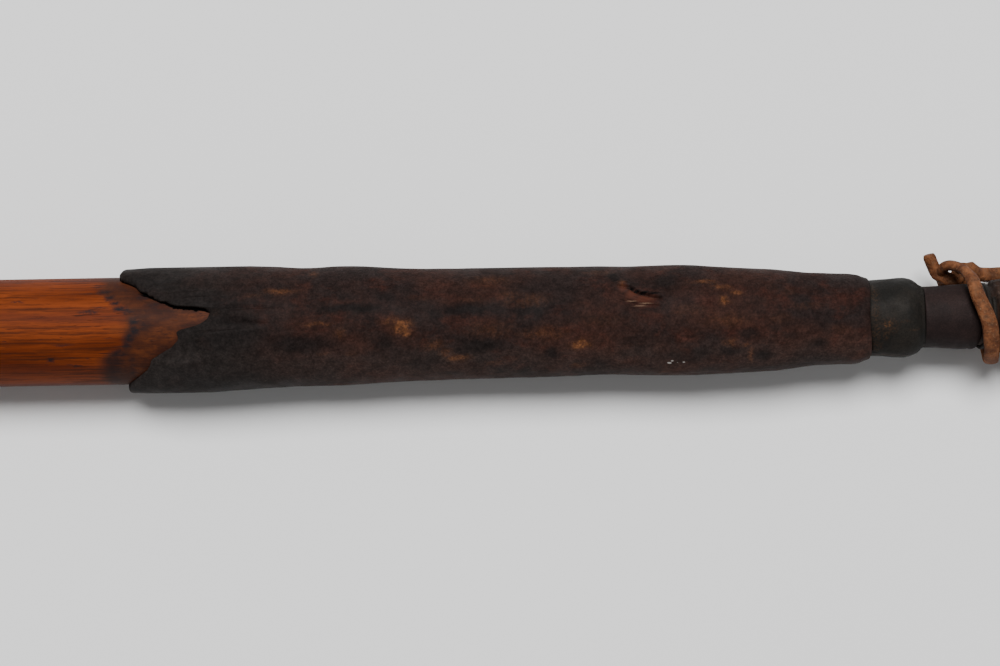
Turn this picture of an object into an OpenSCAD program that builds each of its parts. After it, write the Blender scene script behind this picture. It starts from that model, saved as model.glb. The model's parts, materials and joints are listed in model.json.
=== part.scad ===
// Leather fly swatter: a turned wooden stick with a shrunk-on leather grip, a leather covered
// pommel with a wrist thong tied in its neck, and a perforated leather flap riveted into a slot.
// Millimetres. The stick lies along X with the pommel at +X and the flap at -X, +Z up.
// The origin is under the middle of the swatter, on the surface that it lies on.

/* [Shaft] */
// Length of bare wood between the flap and the grip
bare_len = 255; // [220:5:300]
// Diameter of the bare wood beside the grip
shaft_d = 20; // [19:0.5:21]
// Diameter of the slotted tip
tip_d = 15.2; // [14.5:0.1:17]
// Length of the saw cut that holds the flap
slot_len = 34; // [32:1:40]
// Diameter of the wood inside the neck
core_d = 8.8; // [8:0.1:9]

/* [Grip] */
// Length of the leather sleeve
grip_len = 138; // [120:1:160]
// Largest diameter of the sleeve, near its open edge
grip_max_d = 23.5; // [23:0.1:24.5]
// Diameter of the sleeve along its middle
grip_mid_d = 20.2; // [19.5:0.1:21]
// Diameter of the sleeve beside the collar
grip_end_d = 16.2; // [15.8:0.1:16.8]
// Thickness of the sleeve's leather
hide_t = 1.7; // [1.5:0.1:1.9]
// Depth of the V-shaped notch in the sleeve's open edge
notch_len = 16.5; // [10:0.5:22]
// Width of the notch at the open edge
notch_w = 19; // [14:0.5:20]

/* [Neck and pommel] */
// Length of the collar
collar_len = 10.3; // [8.5:0.1:11]
// Largest diameter of the collar
collar_d = 14.9; // [14.7:0.1:15.2]
// Length of the bare neck between the collar and the groove
neck_len = 9.8; // [8:0.1:12]
// Length of the groove that the thong is tied in
groove_len = 3; // [3:0.1:4]
// Length of the pommel
pommel_len = 26; // [24:0.5:32]
// Diameter of the pommel
pommel_d = 23.4; // [22:0.1:23.5]

/* [Flap] */
// Length of the flap beyond its flex line
flap_len = 130; // [125:1:140]
// Widest part of the flap
flap_w = 88; // [86:1:94]
// Thickness of the flap's leather
flap_t = 3; // [2.8:0.1:3.2]
// Diameter of the air holes
air_hole_d = 5.5; // [4:0.1:6]
// Pitch of the air holes across the flap
air_pitch = 13; // [12.5:0.1:13.5]

/* [Thong] */
// Width of the leather lace
lace_w = 3.2; // [3:0.1:3.4]
// Thickness of the lace where it is wound
lace_t = 2.1; // [1.8:0.1:2.2]
// Slant of the turn of lace round the neck, in degrees
lace_slant = 17; // [10:1:18]

/* [Hidden] */

// The stations along the stick, from the flap's far edge to the pommel's end.
flex_gap = 3.5;                            // from the wood's tip to the flex line
total_len = flap_len + flex_gap + bare_len + grip_len + collar_len + neck_len + groove_len
    + pommel_len;
x_flap_end = -total_len / 2;
x_flex = x_flap_end + flap_len;
x_tip = x_flex + flex_gap;
x_grip = x_tip + bare_len;
x_collar = x_grip + grip_len;
x_neck = x_collar + collar_len;
x_groove = x_neck + neck_len;
x_pommel = x_groove + groove_len;
x_butt = x_pommel + pommel_len;
axis_z = grip_max_d / 2;                   // the sleeve and the pommel rest on the surface
around = 72;                               // facets asked for on turned shapes

function ease(t) = let (c = min(1, max(0, t))) c * c * (3 - 2 * c);
function between(a, b, t) = a + (b - a) * ease(t);
function steps(first, last, count) = [for (i = [0:count]) first + (last - first) * i / count];
function arc(centre, radius, from, to, count) =
    [for (a = steps(from, to, count)) centre + radius * [cos(a), sin(a)]];

// A solid of revolution about the stick's axis. Its outline is a list of [radius, x].
module turned(outline) {
    translate([0, 0, axis_z]) rotate([0, 90, 0]) rotate_extrude($fn = around) polygon(outline);
}

// Turns of thread wound side by side on a cylinder of radius seat, pressed into each other.
module whipping(start, turns, thread, seat) {
    bulge = 0.48 * thread;
    turned(concat([[seat, start]],
        [for (i = [0:turns - 1], a = steps(30, 150, 6))
            [seat + thread / 2 + bulge * sin(a), start + (i + 0.5) * thread - bulge * cos(a)]],
        [[seat, start + turns * thread]]));
}

// --- Stick -----------------------------------------------------------------------------------
core_r = core_d / 2;
skived_t = 1.2;                            // the sleeve's thinned end, under its whipping
thread_d = 0.8;
band_d = 1;                                // thread at the end of the slot
band_turns = 9;
x_band = x_tip + slot_len + 1;
band_seat_r = tip_d / 2 - 0.1;
cap_t = 1.5;                               // the pommel's leather
swell_len = 60;                            // from the grip's thickest part to its middle
swell_start = 6;
waist_len = 34;                            // the grip's taper down to the collar

function sleeve_r(s) = s < grip_len / 2
    ? between(grip_max_d, grip_mid_d, (s - swell_start) / swell_len) / 2
    : between(grip_mid_d, grip_end_d, (s - grip_len + waist_len) / waist_len) / 2;
function wood_r(s) = min(shaft_d / 2, sleeve_r(s) - hide_t);
function bare_r(x) = between(tip_d, shaft_d, (x - x_band - 12) / 140) / 2;

knob_skirt_r = 6.6;                        // the cap where it leaves the groove
knob_shoulder = 4.5;                       // the cap keeps near that radius for this long
dome_len = 10;                             // the rounded end of the pommel
function knob_r(s) = s <= knob_shoulder
    ? knob_skirt_r + 0.4 * s / knob_shoulder
    : s <= pommel_len - dome_len
        ? between(knob_skirt_r + 0.4, pommel_d / 2,
            (s - knob_shoulder) / (pommel_len - dome_len - knob_shoulder))
        : pommel_d / 2;
function dome(radius, length, count) =
    [for (a = steps(0, 90, count)) [radius * cos(a), x_butt - dome_len + length * sin(a)]];

grip_stations = steps(0, grip_len, 28);
knob_stations = steps(0, pommel_len - dome_len, 12);
rivet_x = [x_tip + 9, x_tip + 24];
rivet_r = 1.6;
rivet_head_r = 3.2;
rivet_seat = 1.3;                          // depth of the flats that the rivets bear on
rivet_seat_z = tip_d / 2 - rivet_seat;

module shaft() {
    color("peru") difference() {
        turned(concat(
            [[0, x_tip], [tip_d / 2 - 0.6, x_tip], [tip_d / 2, x_tip + 0.6],
             [tip_d / 2, x_band], [band_seat_r, x_band],
             [band_seat_r, x_band + band_turns * band_d],
             [tip_d / 2, x_band + band_turns * band_d]],
            [for (x = steps(x_band + 12, x_band + 152, 16)) [bare_r(x), x]],
            [for (s = grip_stations) [wood_r(s), x_grip + s]],
            [[core_r, x_collar], [core_r, x_pommel], [knob_skirt_r - cap_t, x_pommel]],
            [for (s = knob_stations) [knob_r(s) - cap_t, x_pommel + s]],
            dome(pommel_d / 2 - cap_t, dome_len - cap_t, 10)));
        translate([x_tip - 1, -shaft_d / 2, axis_z - flap_t / 2])
            cube([slot_len + 1, shaft_d, flap_t]);
        for (x = rivet_x) {
            translate([x, 0, 0]) cylinder(r = rivet_r, h = 2 * axis_z, $fn = 32);
            for (side = [0, 1]) mirror([0, 0, side]) translate([x, 0, side ? -2 * axis_z : 0])
                translate([0, 0, axis_z + rivet_seat_z])
                    cylinder(r = rivet_head_r + 0.2, h = tip_d, $fn = 32);
        }
    }
}

// --- Grip ------------------------------------------------------------------------------------
edge_round = 1.1;

module grip_sleeve() {
    notch = [[-1, notch_w / 2], [notch_len * 0.3, notch_w * 0.36], [notch_len * 0.95, 2.2],
             [notch_len, 1], [notch_len * 0.8, -1.8], [notch_len * 0.45, -notch_w * 0.28],
             [-1, -notch_w * 0.52]];
    color("saddlebrown") difference() {
        turned(concat(
            [[wood_r(0), x_grip], [sleeve_r(0) - edge_round, x_grip]],
            [for (a = steps(0, 90, 4))
                [sleeve_r(0) - edge_round * (1 - sin(a)), x_grip + edge_round * (1 - cos(a))]],
            [for (s = grip_stations) if (s > 0 && s < grip_len) [sleeve_r(s), x_grip + s]],
            [[grip_end_d / 2 - 0.5, x_collar], [core_r + skived_t, x_collar],
             [core_r + skived_t, x_collar + collar_len - 2.5], [core_r, x_collar + collar_len - 2.5],
             [core_r, x_collar]],
            [for (s = steps(grip_len, 0, 28)) [wood_r(s), x_grip + s]]));
        translate([x_grip, 0, axis_z]) linear_extrude(axis_z) polygon(notch);
    }
}

module sleeve_whipping() {
    color("black") whipping(x_collar + 0.5, 7, thread_d, core_r + skived_t);
}

module collar() {
    bore_r = core_r + skived_t + thread_d + 0.05;
    mouth_r = core_r + skived_t + 0.05;
    color("dimgray") turned(concat(
        [[bore_r, x_collar], [collar_d / 2 - 0.5, x_collar], [collar_d / 2 - 0.35, x_collar + 3]],
        [for (a = steps(-40, 90, 10))
            [collar_d / 2 - 2.2 + 2.2 * cos(a), x_neck - 3.6 + 3.6 * sin(a)]],
        [[mouth_r, x_neck], [mouth_r, x_neck - 2.4], [bore_r, x_neck - 2.4]]));
}

// --- Neck and pommel ---------------------------------------------------------------------------
module neck_cover() {
    start = x_neck - 2.4;
    color("#4a3230") turned([[core_r, start], [core_r + skived_t, start],
        [core_r + skived_t, x_neck], [core_r + 1.7, x_groove - 0.5],
        [core_r + 1.3, x_groove], [core_r, x_groove]]);
}

module pommel_cap() {
    skirt_r = core_r + 1;
    inner = concat(
        [[core_r, x_groove], [core_r, x_pommel], [knob_skirt_r - cap_t, x_pommel]],
        [for (s = knob_stations) [knob_r(s) - cap_t, x_pommel + s]],
        dome(pommel_d / 2 - cap_t, dome_len - cap_t, 10));
    outer = concat(
        [[skirt_r, x_groove], [skirt_r, x_pommel], [knob_skirt_r - 0.6, x_pommel]],
        [for (s = knob_stations) if (s > 0) [knob_r(s), x_pommel + s]],
        dome(pommel_d / 2, dome_len, 10));
    color("#3b2a22") turned(concat(outer, [for (i = [len(inner) - 1:-1:0]) inner[i]]));
}

module pommel_whipping() {
    color("black") whipping(x_groove + 0.3, 3, thread_d, core_r + 1);
}

module split_whipping() {
    color("black") whipping(x_band, band_turns, band_d, band_seat_r);
}

// --- Flap ----------------------------------------------------------------------------------------
// The flap leaves the slot level, droops in an S of two equal arcs, and lies flat.
level_len = 4;
droop = axis_z - flap_t / 2;
droop_run = 52;
droop_angle = 2 * atan(droop / droop_run);
droop_r = droop_run / 2 / sin(droop_angle);
flex_clear = 0.3;
tongue_w = 13;

// The flap's middle line and its slope at u, the distance from the flex line.
function drop_at(u) = let (v = u - level_len)
    v <= 0 ? 0
    : v < droop_run / 2 ? droop_r - sqrt(droop_r * droop_r - v * v)
    : v < droop_run ? droop - droop_r + sqrt(droop_r * droop_r - pow(droop_run - v, 2))
    : droop;
function slope_at(u) = let (v = u - level_len)
    v <= 0 || v >= droop_run ? 0
    : v < droop_run / 2 ? asin(v / droop_r) : asin((droop_run - v) / droop_r);

u_stations = concat([0, level_len], [for (i = [1:12]) level_len + droop_run * i / 12]);

// A slice through the flap between two heights above its middle, as an outline in u and z.
function band(low, high, last) = concat(
    [for (u = u_stations) if (u < last) [u, axis_z - drop_at(u) + high]],
    [[last, axis_z - drop_at(last) + high], [last, axis_z - drop_at(last) + low]],
    [for (i = [len(u_stations) - 1:-1:0]) if (u_stations[i] < last)
        [u_stations[i], axis_z - drop_at(u_stations[i]) + low]]);

// The drooped slice as a solid, cut to a plan outline given as children in u and y.
module drooped(low, high, last) {
    translate([x_flex, 0, 0]) mirror([1, 0, 0]) intersection() {
        translate([0, flap_w, 0]) rotate([90, 0, 0]) linear_extrude(2 * flap_w)
            polygon(band(low, high, last));
        linear_extrude(3 * axis_z) children();
    }
}

shoulder_r = 14;
waist_r = 26;
waist_turn = 80;
waist_start = 6;
corner_r = 14;
flare = 4.4;                               // how much further out each side is at the far end

// One side of the flap: waist, shoulder, straight side, corner.
function flap_side() = let (
        waist = [waist_start, tongue_w / 2 + waist_r],
        shoulder = waist + (waist_r + shoulder_r) * [sin(waist_turn), -cos(waist_turn)],
        corner = [flap_len - corner_r, flap_w / 2 - corner_r],
        tilt = 90 + atan(flare / (corner[0] - shoulder[0])))
    concat([[0, tongue_w / 2]],
        arc(waist, waist_r, 270, 270 + waist_turn, 9),
        arc(shoulder, shoulder_r, 90 + waist_turn, tilt, 6),
        arc(corner, corner_r, tilt, 0, 8));

module flap_plan() {
    side = flap_side();
    polygon(concat(side, [for (i = [len(side) - 1:-1:0]) [side[i][0], -side[i][1]]]));
}

air_rows = 6;
air_row_gap = 12;
air_first = 58;

module air_holes() {
    for (row = [0:air_rows - 1]) {
        columns = row % 2 == 0 ? 2 : 2.5;
        for (column = [-columns:1:columns])
            translate([air_first + row * air_row_gap, column * air_pitch])
                circle(d = air_hole_d, $fn = 24);
    }
}

module flap_blade() {
    color("saddlebrown") {
        drooped(-flap_t / 2, flap_t / 2, flap_len) difference() {
            flap_plan();
            air_holes();
        }
        translate([x_flex, 0, axis_z]) rotate([90, 0, 0])
            cylinder(d = flap_t, h = tongue_w, center = true, $fn = 32);
    }
}

module flap_tongue() {
    last = x_tip + slot_len - 1;
    start = x_flex + flap_t / 2 + flex_clear;
    color("saddlebrown") difference() {
        translate([start, -tongue_w / 2, axis_z - flap_t / 2])
            cube([last - start, tongue_w, flap_t]);
        for (x = rivet_x) translate([x, 0, 0]) cylinder(r = rivet_r, h = 2 * axis_z, $fn = 32);
    }
}

rivet_dome = 1.2;
burr_t = 0.9;

module rivets() {
    seat = axis_z + rivet_seat_z;
    color("peru") for (x = rivet_x) translate([x, 0, 0]) {
        translate([0, 0, axis_z - rivet_seat_z - burr_t - 0.3])
            cylinder(r = rivet_r, h = 2 * rivet_seat_z + burr_t + 0.3, $fn = 32);
        translate([0, 0, seat]) rotate_extrude($fn = 32)
            polygon(concat([[0, 0], [rivet_head_r, 0]],
                [for (a = steps(0, 90, 6)) [rivet_head_r * cos(a), 0.3 + rivet_dome * sin(a)]]));
    }
}

module rivet_burrs() {
    color("peru") for (x = rivet_x) translate([x, 0, axis_z - rivet_seat_z - burr_t])
        difference() {
            cylinder(r = rivet_head_r - 0.2, h = burr_t, $fn = 32);
            translate([0, 0, -1]) cylinder(r = rivet_r, h = burr_t + 2, $fn = 32);
        }
}

// Leather patches stitched to both faces of the flap's waist.
patch_t = 1.6;
patch_start = 4;
patch_wide = 22;
patch_end = 34;
patch_w0 = 5.2;
patch_w1 = 9.5;

function patch_v(u) = u <= patch_wide
    ? between(patch_w0, patch_w1, (u - patch_start) / (patch_wide - patch_start))
    : patch_w1 * sqrt(max(0, 1 - pow((u - patch_wide) / (patch_end - patch_wide), 2)));
function patch_side() = concat(
    [for (u = steps(patch_start, patch_wide, 6)) [u, patch_v(u)]],
    [for (a = steps(80, 0, 8))
        [patch_wide + (patch_end - patch_wide) * cos(a), patch_w1 * sin(a)]]);

module patch_plan() {
    side = patch_side();
    polygon(concat(side, [for (i = [len(side) - 2:-1:0]) [side[i][0], -side[i][1]]]));
}

module stiffener_top() {
    color("#5a3520") drooped(flap_t / 2, flap_t / 2 + patch_t, patch_end + 1) patch_plan();
}

module stiffener_bottom() {
    color("#5a3520") drooped(-flap_t / 2 - patch_t, -flap_t / 2, patch_end + 1) patch_plan();
}

stitch_inset = 2;
stitch_len = 2.2;
stitch_d = 0.7;
stitch_u = [5.5:3.2:28];

// A stitch lies along the patch's edge on one face: face is 1 on top and -1 underneath.
module stitch(u, y, turn, face) {
    lift = face * (flap_t / 2 + patch_t + stitch_d / 2 - 0.2);
    translate([x_flex - u, y, axis_z - drop_at(u) + lift]) rotate([0, -slope_at(u), 0])
        rotate([0, 0, turn]) rotate([0, 90, 0])
            cylinder(d = stitch_d, h = stitch_len, center = true, $fn = 12);
}

module stiffener_stitches() {
    color("tan") for (face = [-1, 1]) {
        for (u = stitch_u, side = [-1, 1]) {
            turn = -side * atan((patch_v(u + 1) - patch_v(u - 1)) / 2);
            stitch(u, side * (patch_v(u) - stitch_inset), turn, face);
        }
        stitch(patch_end - stitch_inset, 0, 90, face);
    }
}

// --- Thong -----------------------------------------------------------------------------------------
lace_r = lace_w / 2;
turn_x = x_groove + 0.7;
turn_bore = 7.15;

// The section of a flat lace, lying on a circle of radius bore.
module lace_section(bore) {
    translate([bore + lace_t / 2, 0]) {
        square([lace_t, lace_w - lace_t], center = true);
        for (side = [-1, 1]) translate([0, side * (lace_w - lace_t) / 2])
            circle(d = lace_t, $fn = 24);
    }
}

module thong_noose() {
    color("chocolate") translate([turn_x, 0, axis_z]) rotate([0, 0, lace_slant])
        rotate([0, 90, 0]) rotate_extrude($fn = around) lace_section(turn_bore);
}

knot_at = [x_groove - 4.5, 9.5, axis_z - 2.5];
knot_r = 2.5;

// An overhand knot, as the lace's crossings packed together.
module thong_knot() {
    color("chocolate") translate(knot_at) {
        rotate([0, 60, 20]) rotate_extrude($fn = 32)
            translate([knot_r - 0.6, 0]) circle(r = 1.3, $fn = 24);
        sphere(r = 1.9, $fn = 32);
    }
}

module thong_tail() {
    color("chocolate") translate(knot_at + [-1.8, 1.1, 0.8]) rotate([0, -80, -32])
        cylinder(r = 1.35, h = 3.6, $fn = 24);
}

// The wrist loop's route, from the knot round the pommel's end and back under the neck.
loop_route = [
    [258.2, 10.1, 9.9], [259.6, 9.9, 8.9], [261.3, 9.3, 7.2], [264, 9.5, 5.2], [268, 10.1, 3.3],
    [273, 10.9, 2], [279, 12.2, 1.6], [286, 14.2, 1.6], [294, 17, 1.6], [303, 20, 1.6],
    [312, 22.6, 1.6], [321, 24.6, 1.6], [330, 25.8, 1.6], [339, 26, 1.6], [348, 25, 1.6],
    [356, 22.4, 1.6], [363, 18, 1.6], [368, 12, 1.6], [370.6, 5, 1.6], [371, -2.4, 1.6],
    [369.4, -10, 1.6], [365.6, -17, 1.6], [360, -22.6, 1.6], [353, -26.6, 1.6],
    [344.6, -28.8, 1.6], [335.6, -29.4, 1.6], [326.4, -28.6, 1.6], [317.4, -26.8, 1.6],
    [308.6, -24.4, 1.6], [300, -21.6, 1.6], [292, -18.6, 1.6], [285, -15.4, 1.6],
    [278, -11.6, 1.6], [272, -7.4, 1.7], [267.5, -3, 2.1], [264, 1.5, 2.8], [260.6, 5, 3.9],
    [257.8, 6.8, 4.9]];
loop_sides = 8;

function unit(v) = v / norm(v);
function tangent(route, i) =
    unit(route[min(i + 1, len(route) - 1)] - route[max(i - 1, 0)]);

// A tube along a route, as rings square to it with their first side kept level.
module tube(route, radius, sides) {
    count = len(route);
    rings = [for (i = [0:count - 1]) let (
            t = tangent(route, i),
            level = unit(cross([0, 0, 1], t)),
            up = cross(t, level))
        for (k = [0:sides - 1]) let (a = 360 * k / sides)
            route[i] + radius * (cos(a) * level + sin(a) * up)];
    walls = [for (i = [0:count - 2], k = [0:sides - 1]) let (
            next = (k + 1) % sides)
        [i * sides + k, (i + 1) * sides + k, (i + 1) * sides + next, i * sides + next]];
    caps = [[for (k = [0:sides - 1]) k],
        [for (k = [sides - 1:-1:0]) (count - 1) * sides + k]];
    polyhedron(points = rings, faces = concat(walls, caps), convexity = 4);
}

module wrist_loop() {
    color("chocolate") tube(loop_route, lace_r, loop_sides);
}

shaft();
grip_sleeve();
sleeve_whipping();
collar();
neck_cover();
pommel_cap();
pommel_whipping();
split_whipping();
flap_tongue();
rivets();
rivet_burrs();
flap_blade();
stiffener_top();
stiffener_bottom();
stiffener_stitches();
thong_noose();
thong_knot();
thong_tail();
wrist_loop();
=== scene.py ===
"""A leather fly swatter lying on a pale table, seen from above at its grip end."""
import json
import math

import bmesh
import bpy
import numpy as np
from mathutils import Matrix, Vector, noise


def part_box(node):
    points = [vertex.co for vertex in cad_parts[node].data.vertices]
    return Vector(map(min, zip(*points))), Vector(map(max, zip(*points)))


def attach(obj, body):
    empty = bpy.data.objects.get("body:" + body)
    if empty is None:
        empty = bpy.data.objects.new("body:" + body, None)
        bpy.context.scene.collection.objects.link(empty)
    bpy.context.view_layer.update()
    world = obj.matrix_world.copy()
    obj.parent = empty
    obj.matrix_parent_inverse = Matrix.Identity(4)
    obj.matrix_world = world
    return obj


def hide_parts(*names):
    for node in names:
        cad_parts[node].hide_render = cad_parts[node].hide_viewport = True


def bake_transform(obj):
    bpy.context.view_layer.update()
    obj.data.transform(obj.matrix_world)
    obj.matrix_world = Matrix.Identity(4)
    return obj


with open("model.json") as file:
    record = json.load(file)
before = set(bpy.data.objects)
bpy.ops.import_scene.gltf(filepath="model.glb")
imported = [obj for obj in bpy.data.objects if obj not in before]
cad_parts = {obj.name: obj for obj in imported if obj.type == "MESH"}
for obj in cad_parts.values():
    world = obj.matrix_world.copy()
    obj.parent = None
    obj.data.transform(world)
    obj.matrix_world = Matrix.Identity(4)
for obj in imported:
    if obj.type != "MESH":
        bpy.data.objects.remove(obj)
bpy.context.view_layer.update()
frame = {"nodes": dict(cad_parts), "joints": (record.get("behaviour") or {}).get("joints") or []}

MM = 0.001

# Stations along the stick, read from the frame, in metres.
X_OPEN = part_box("grip_sleeve")[0].x          # the sleeve's open edge
X_COLLAR, X_NECK = (corner.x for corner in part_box("collar"))
X_GROOVE, X_BUTT = (corner.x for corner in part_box("pommel_cap"))
X_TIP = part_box("shaft")[0].x                 # the slotted tip
X_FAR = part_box("flap_blade")[0].x            # the flap's far edge
AXIS_Z = (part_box("collar")[0].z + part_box("collar")[1].z) / 2
CLEAR_OF_TABLE = AXIS_Z / MM - 0.02          # mm, the largest radius that doesn't touch the table
FLEX = next(Vector(j["pos_m"]) for j in frame["joints"] if j["name"] == "flap_flex")


# --- Small helpers ------------------------------------------------------------------------------

def smooth(t):
    """0 to 1 with level ends."""
    t = min(1.0, max(0.0, t))
    return t * t * (3 - 2 * t)


def hump(t):
    """1 at 0, falling smoothly to nothing at -1 and 1."""
    return 1 - smooth(abs(t))


def straight(pairs, x):
    """Straight lines through given (x, value) pairs."""
    return float(np.interp(x, [p[0] for p in pairs], [p[1] for p in pairs]))


def rough(x, y, z, scale, seed=0.0):
    """Smooth noise from about -1 to 1 at a place in metres, with features of that size."""
    return noise.noise(Vector((x / scale + seed, y / scale - seed, z / scale + 2.3 * seed)))


def add_object(name, data):
    made = bpy.data.objects.new(name, data)
    bpy.context.scene.collection.objects.link(made)
    return made


def finish_piece(piece, material, body, sharp_deg=None):
    piece.data.materials.clear()
    piece.data.materials.append(material)
    piece.data.shade_smooth()
    if sharp_deg:
        piece.data.set_sharp_from_angle(angle=math.radians(sharp_deg))
    if body:
        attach(piece, body)
    return piece


def mesh_piece(name, points, faces):
    data = bpy.data.meshes.new(name)
    data.from_pydata([tuple(p) for p in points], [], faces)
    data.validate()
    tidy = bmesh.new()
    tidy.from_mesh(data)
    bmesh.ops.recalc_face_normals(tidy, faces=tidy.faces)
    tidy.to_mesh(data)
    tidy.free()
    return add_object(name, data)


def walls(rings, closed=False, base=0):
    """The faces between neighbouring rings, whose points are numbered from base."""
    count = len(rings[0])
    faces = []
    for i in range(len(rings) - (not closed)):
        j = (i + 1) % len(rings)
        for k in range(count):
            m = (k + 1) % count
            corners = (i * count + k, j * count + k, j * count + m, i * count + m)
            faces.append(tuple(base + n for n in corners))
    return faces


def skin_of(name, rings, closed=True):
    """A closed surface through rings of equally many points. closed joins the last ring to the first,
    and otherwise each end is filled with a fan to its middle."""
    count = len(rings[0])
    points = [p for ring in rings for p in ring]
    faces = walls(rings, closed)
    if not closed:
        for i in (0, len(rings) - 1):
            middle = sum((Vector(p) for p in rings[i]), Vector()) / count
            points.append(middle)
            for k in range(count):
                faces.append((i * count + k, i * count + (k + 1) % count, len(points) - 1))
    return mesh_piece(name, points, faces)


def polar(x, radius, angle):
    """A point at that angle round the stick, measured from the top towards +Y."""
    return Vector((x, radius * math.sin(angle), AXIS_Z + radius * math.cos(angle)))


def tube_rings(path, sides, width, thick, facing):
    """Rings of a lace of rounded flat section along path. facing(i) gives the way its flat side looks."""
    rings = []
    for i, p in enumerate(path):
        ahead = (path[min(i + 1, len(path) - 1)] - path[max(i - 1, 0)]).normalized()
        out = facing(i)
        out = (out - ahead * out.dot(ahead)).normalized()
        side = ahead.cross(out)
        fuller = 1 + 0.05 * rough(*p, 2.2 * MM, 4.4)
        ring = []
        for k in range(sides):
            a = 2 * math.pi * k / sides
            c, s = math.cos(a), math.sin(a)
            square = 0.78
            ring.append(p + side * (fuller * width / 2 * math.copysign(abs(c) ** square, c))
                        + out * (thick / 2 * math.copysign(abs(s) ** square, s)))
        rings.append(ring)
    return rings


def curve_through(points, gap):
    """Catmull-Rom points through a given route, about gap apart. Each starts with x, y and z, and any
    values that follow them are carried along."""
    points = np.array(points, float)
    padded = np.vstack([2 * points[0] - points[1], points, 2 * points[-1] - points[-2]])
    line = []
    for a, b, c, d in zip(padded, padded[1:], padded[2:], padded[3:]):
        count = max(1, round(float(np.linalg.norm((c - b)[:3])) / gap))
        for t in np.arange(count) / count:
            line.append(0.5 * ((2 * b) + (c - a) * t + (2 * a - 5 * b + 4 * c - d) * t * t
                               + (3 * b - a - 3 * c + d) * t ** 3))
    return [*line, points[-1]]


# --- Materials ------------------------------------------------------------------------------------

class Shader:
    """One material's nodes, added by short calls whose inputs are values or other nodes' sockets."""

    def __init__(self, name):
        self.material = bpy.data.materials.new(name)
        self.material.use_nodes = True
        self.tree = self.material.node_tree
        self.bsdf = self.tree.nodes["Principled BSDF"]
        self.place = self.tree.nodes.new("ShaderNodeTexCoord").outputs["Object"]

    def node(self, kind, inputs=(), **settings):
        made = self.tree.nodes.new("ShaderNode" + kind)
        for key, value in settings.items():
            setattr(made, key, value)
        for key, value in dict(inputs).items():
            self.put(made.inputs[key], value)
        return made

    def put(self, socket, value):
        if isinstance(value, bpy.types.NodeSocket):
            self.tree.links.new(value, socket)
        elif hasattr(value, "__len__") and socket.type == "RGBA" and len(value) == 3:
            socket.default_value = (*value, 1)
        else:
            socket.default_value = value

    def math(self, operation, a, b=0.0):
        return self.node("Math", {0: a, 1: b}, operation=operation).outputs[0]

    def times(self, a, b):
        return self.math("MULTIPLY", a, b)

    def minus(self, a, b):
        return self.math("SUBTRACT", a, b)

    def vector(self, operation, a, b):
        return self.node("VectorMath", {0: a, 1: b}, operation=operation).outputs[0]

    def axis(self, vector, name):
        return self.node("SeparateXYZ", {0: vector}).outputs[name]

    def facing_up(self):
        """1 where the surface looks up, -1 where it looks down."""
        return self.axis(self.node("NewGeometry").outputs["Normal"], "Z")

    def scaled(self, x, y, z, place=None):
        """The place, stretched by a factor along each axis."""
        made = self.node("Mapping", {"Vector": place or self.place, "Scale": (x, y, z)})
        return made.outputs["Vector"]

    def noise(self, size, detail=4.0, rough_=0.55, place=None, distort=0.0, output="Fac"):
        """Noise with features of that size in metres, or of that size after place's own scaling."""
        made = self.node("TexNoise", {"Vector": place or self.place, "Scale": 1 / size,
                                      "Detail": detail, "Roughness": rough_, "Distortion": distort})
        return made.outputs[output]

    def range(self, value, low, high, to_low=0.0, to_high=1.0):
        made = self.node("MapRange", {"Value": value, "From Min": low, "From Max": high,
                                      "To Min": to_low, "To Max": to_high},
                         interpolation_type="SMOOTHSTEP")
        return made.outputs["Result"]

    def patches(self, size, detail, rough_, low, high, to_low=0.0, to_high=1.0, place=None):
        """A mask from noise: to_low where the noise is under low, and to_high where it is over high."""
        return self.range(self.noise(size, detail, rough_, place), low, high, to_low, to_high)

    def mix(self, share, a, b, mode="MIX"):
        made = self.node("Mix", {0: share}, data_type="RGBA", blend_type=mode)
        self.put(made.inputs[6], a)
        self.put(made.inputs[7], b)
        return made.outputs[2]

    def grey(self, level):
        return self.node("CombineColor", {0: level, 1: level, 2: level}).outputs[0]

    def shaded(self, colour, level):
        """The colour, lighter or darker by that level."""
        return self.mix(1.0, colour, self.grey(level), "MULTIPLY")

    def bump(self, height, distance, strength=1.0, under=None):
        inputs = {"Height": height, "Distance": distance, "Strength": strength}
        if under is not None:
            inputs["Normal"] = under
        return self.node("Bump", inputs).outputs["Normal"]

    def set(self, **values):
        """Principled inputs by name, with _ for a space."""
        for key, value in values.items():
            self.put(self.bsdf.inputs[key.replace("_", " ")], value)
        return self.material

    def unrolled(self, radius):
        """The surface's own map in metres: x along the stick, y the way round it from the top."""
        up = self.minus(self.axis(self.place, "Z"), AXIS_Z)
        turn = self.math("ARCTAN2", self.axis(self.place, "Y"), up)
        along = self.minus(self.axis(self.place, "X"), X_OPEN)
        return self.node("CombineXYZ", {0: along, 1: self.times(turn, radius)}).outputs[0]

    def wobbled(self, place, size, amount):
        """place, pushed about by noise so that shapes drawn in it get soft uneven edges."""
        push = self.noise(size, 5.0, 0.65, output="Color")
        centred = self.vector("SUBTRACT", push, (0.5, 0.5, 0.5))
        grown = self.node("VectorMath", {0: centred, "Scale": amount}, operation="SCALE").outputs[0]
        return self.vector("ADD", place, grown)

    def spots(self, place, radius, listed):
        """A mask that is high in each listed spot: mm along, degrees round, half sizes in mm, strength."""
        total = 0.0
        for s, degrees, half_long, half_wide, strength in listed:
            away = self.vector("SUBTRACT", place, (s * MM, math.radians(degrees) * radius, 0))
            away = self.vector("DIVIDE", away, (half_long * MM, half_wide * MM, 1))
            far = self.node("VectorMath", {0: away}, operation="LENGTH").outputs["Value"]
            total = self.math("MAXIMUM", total, self.range(far, 1.5, 0.25, 0.0, strength))
        return total


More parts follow.
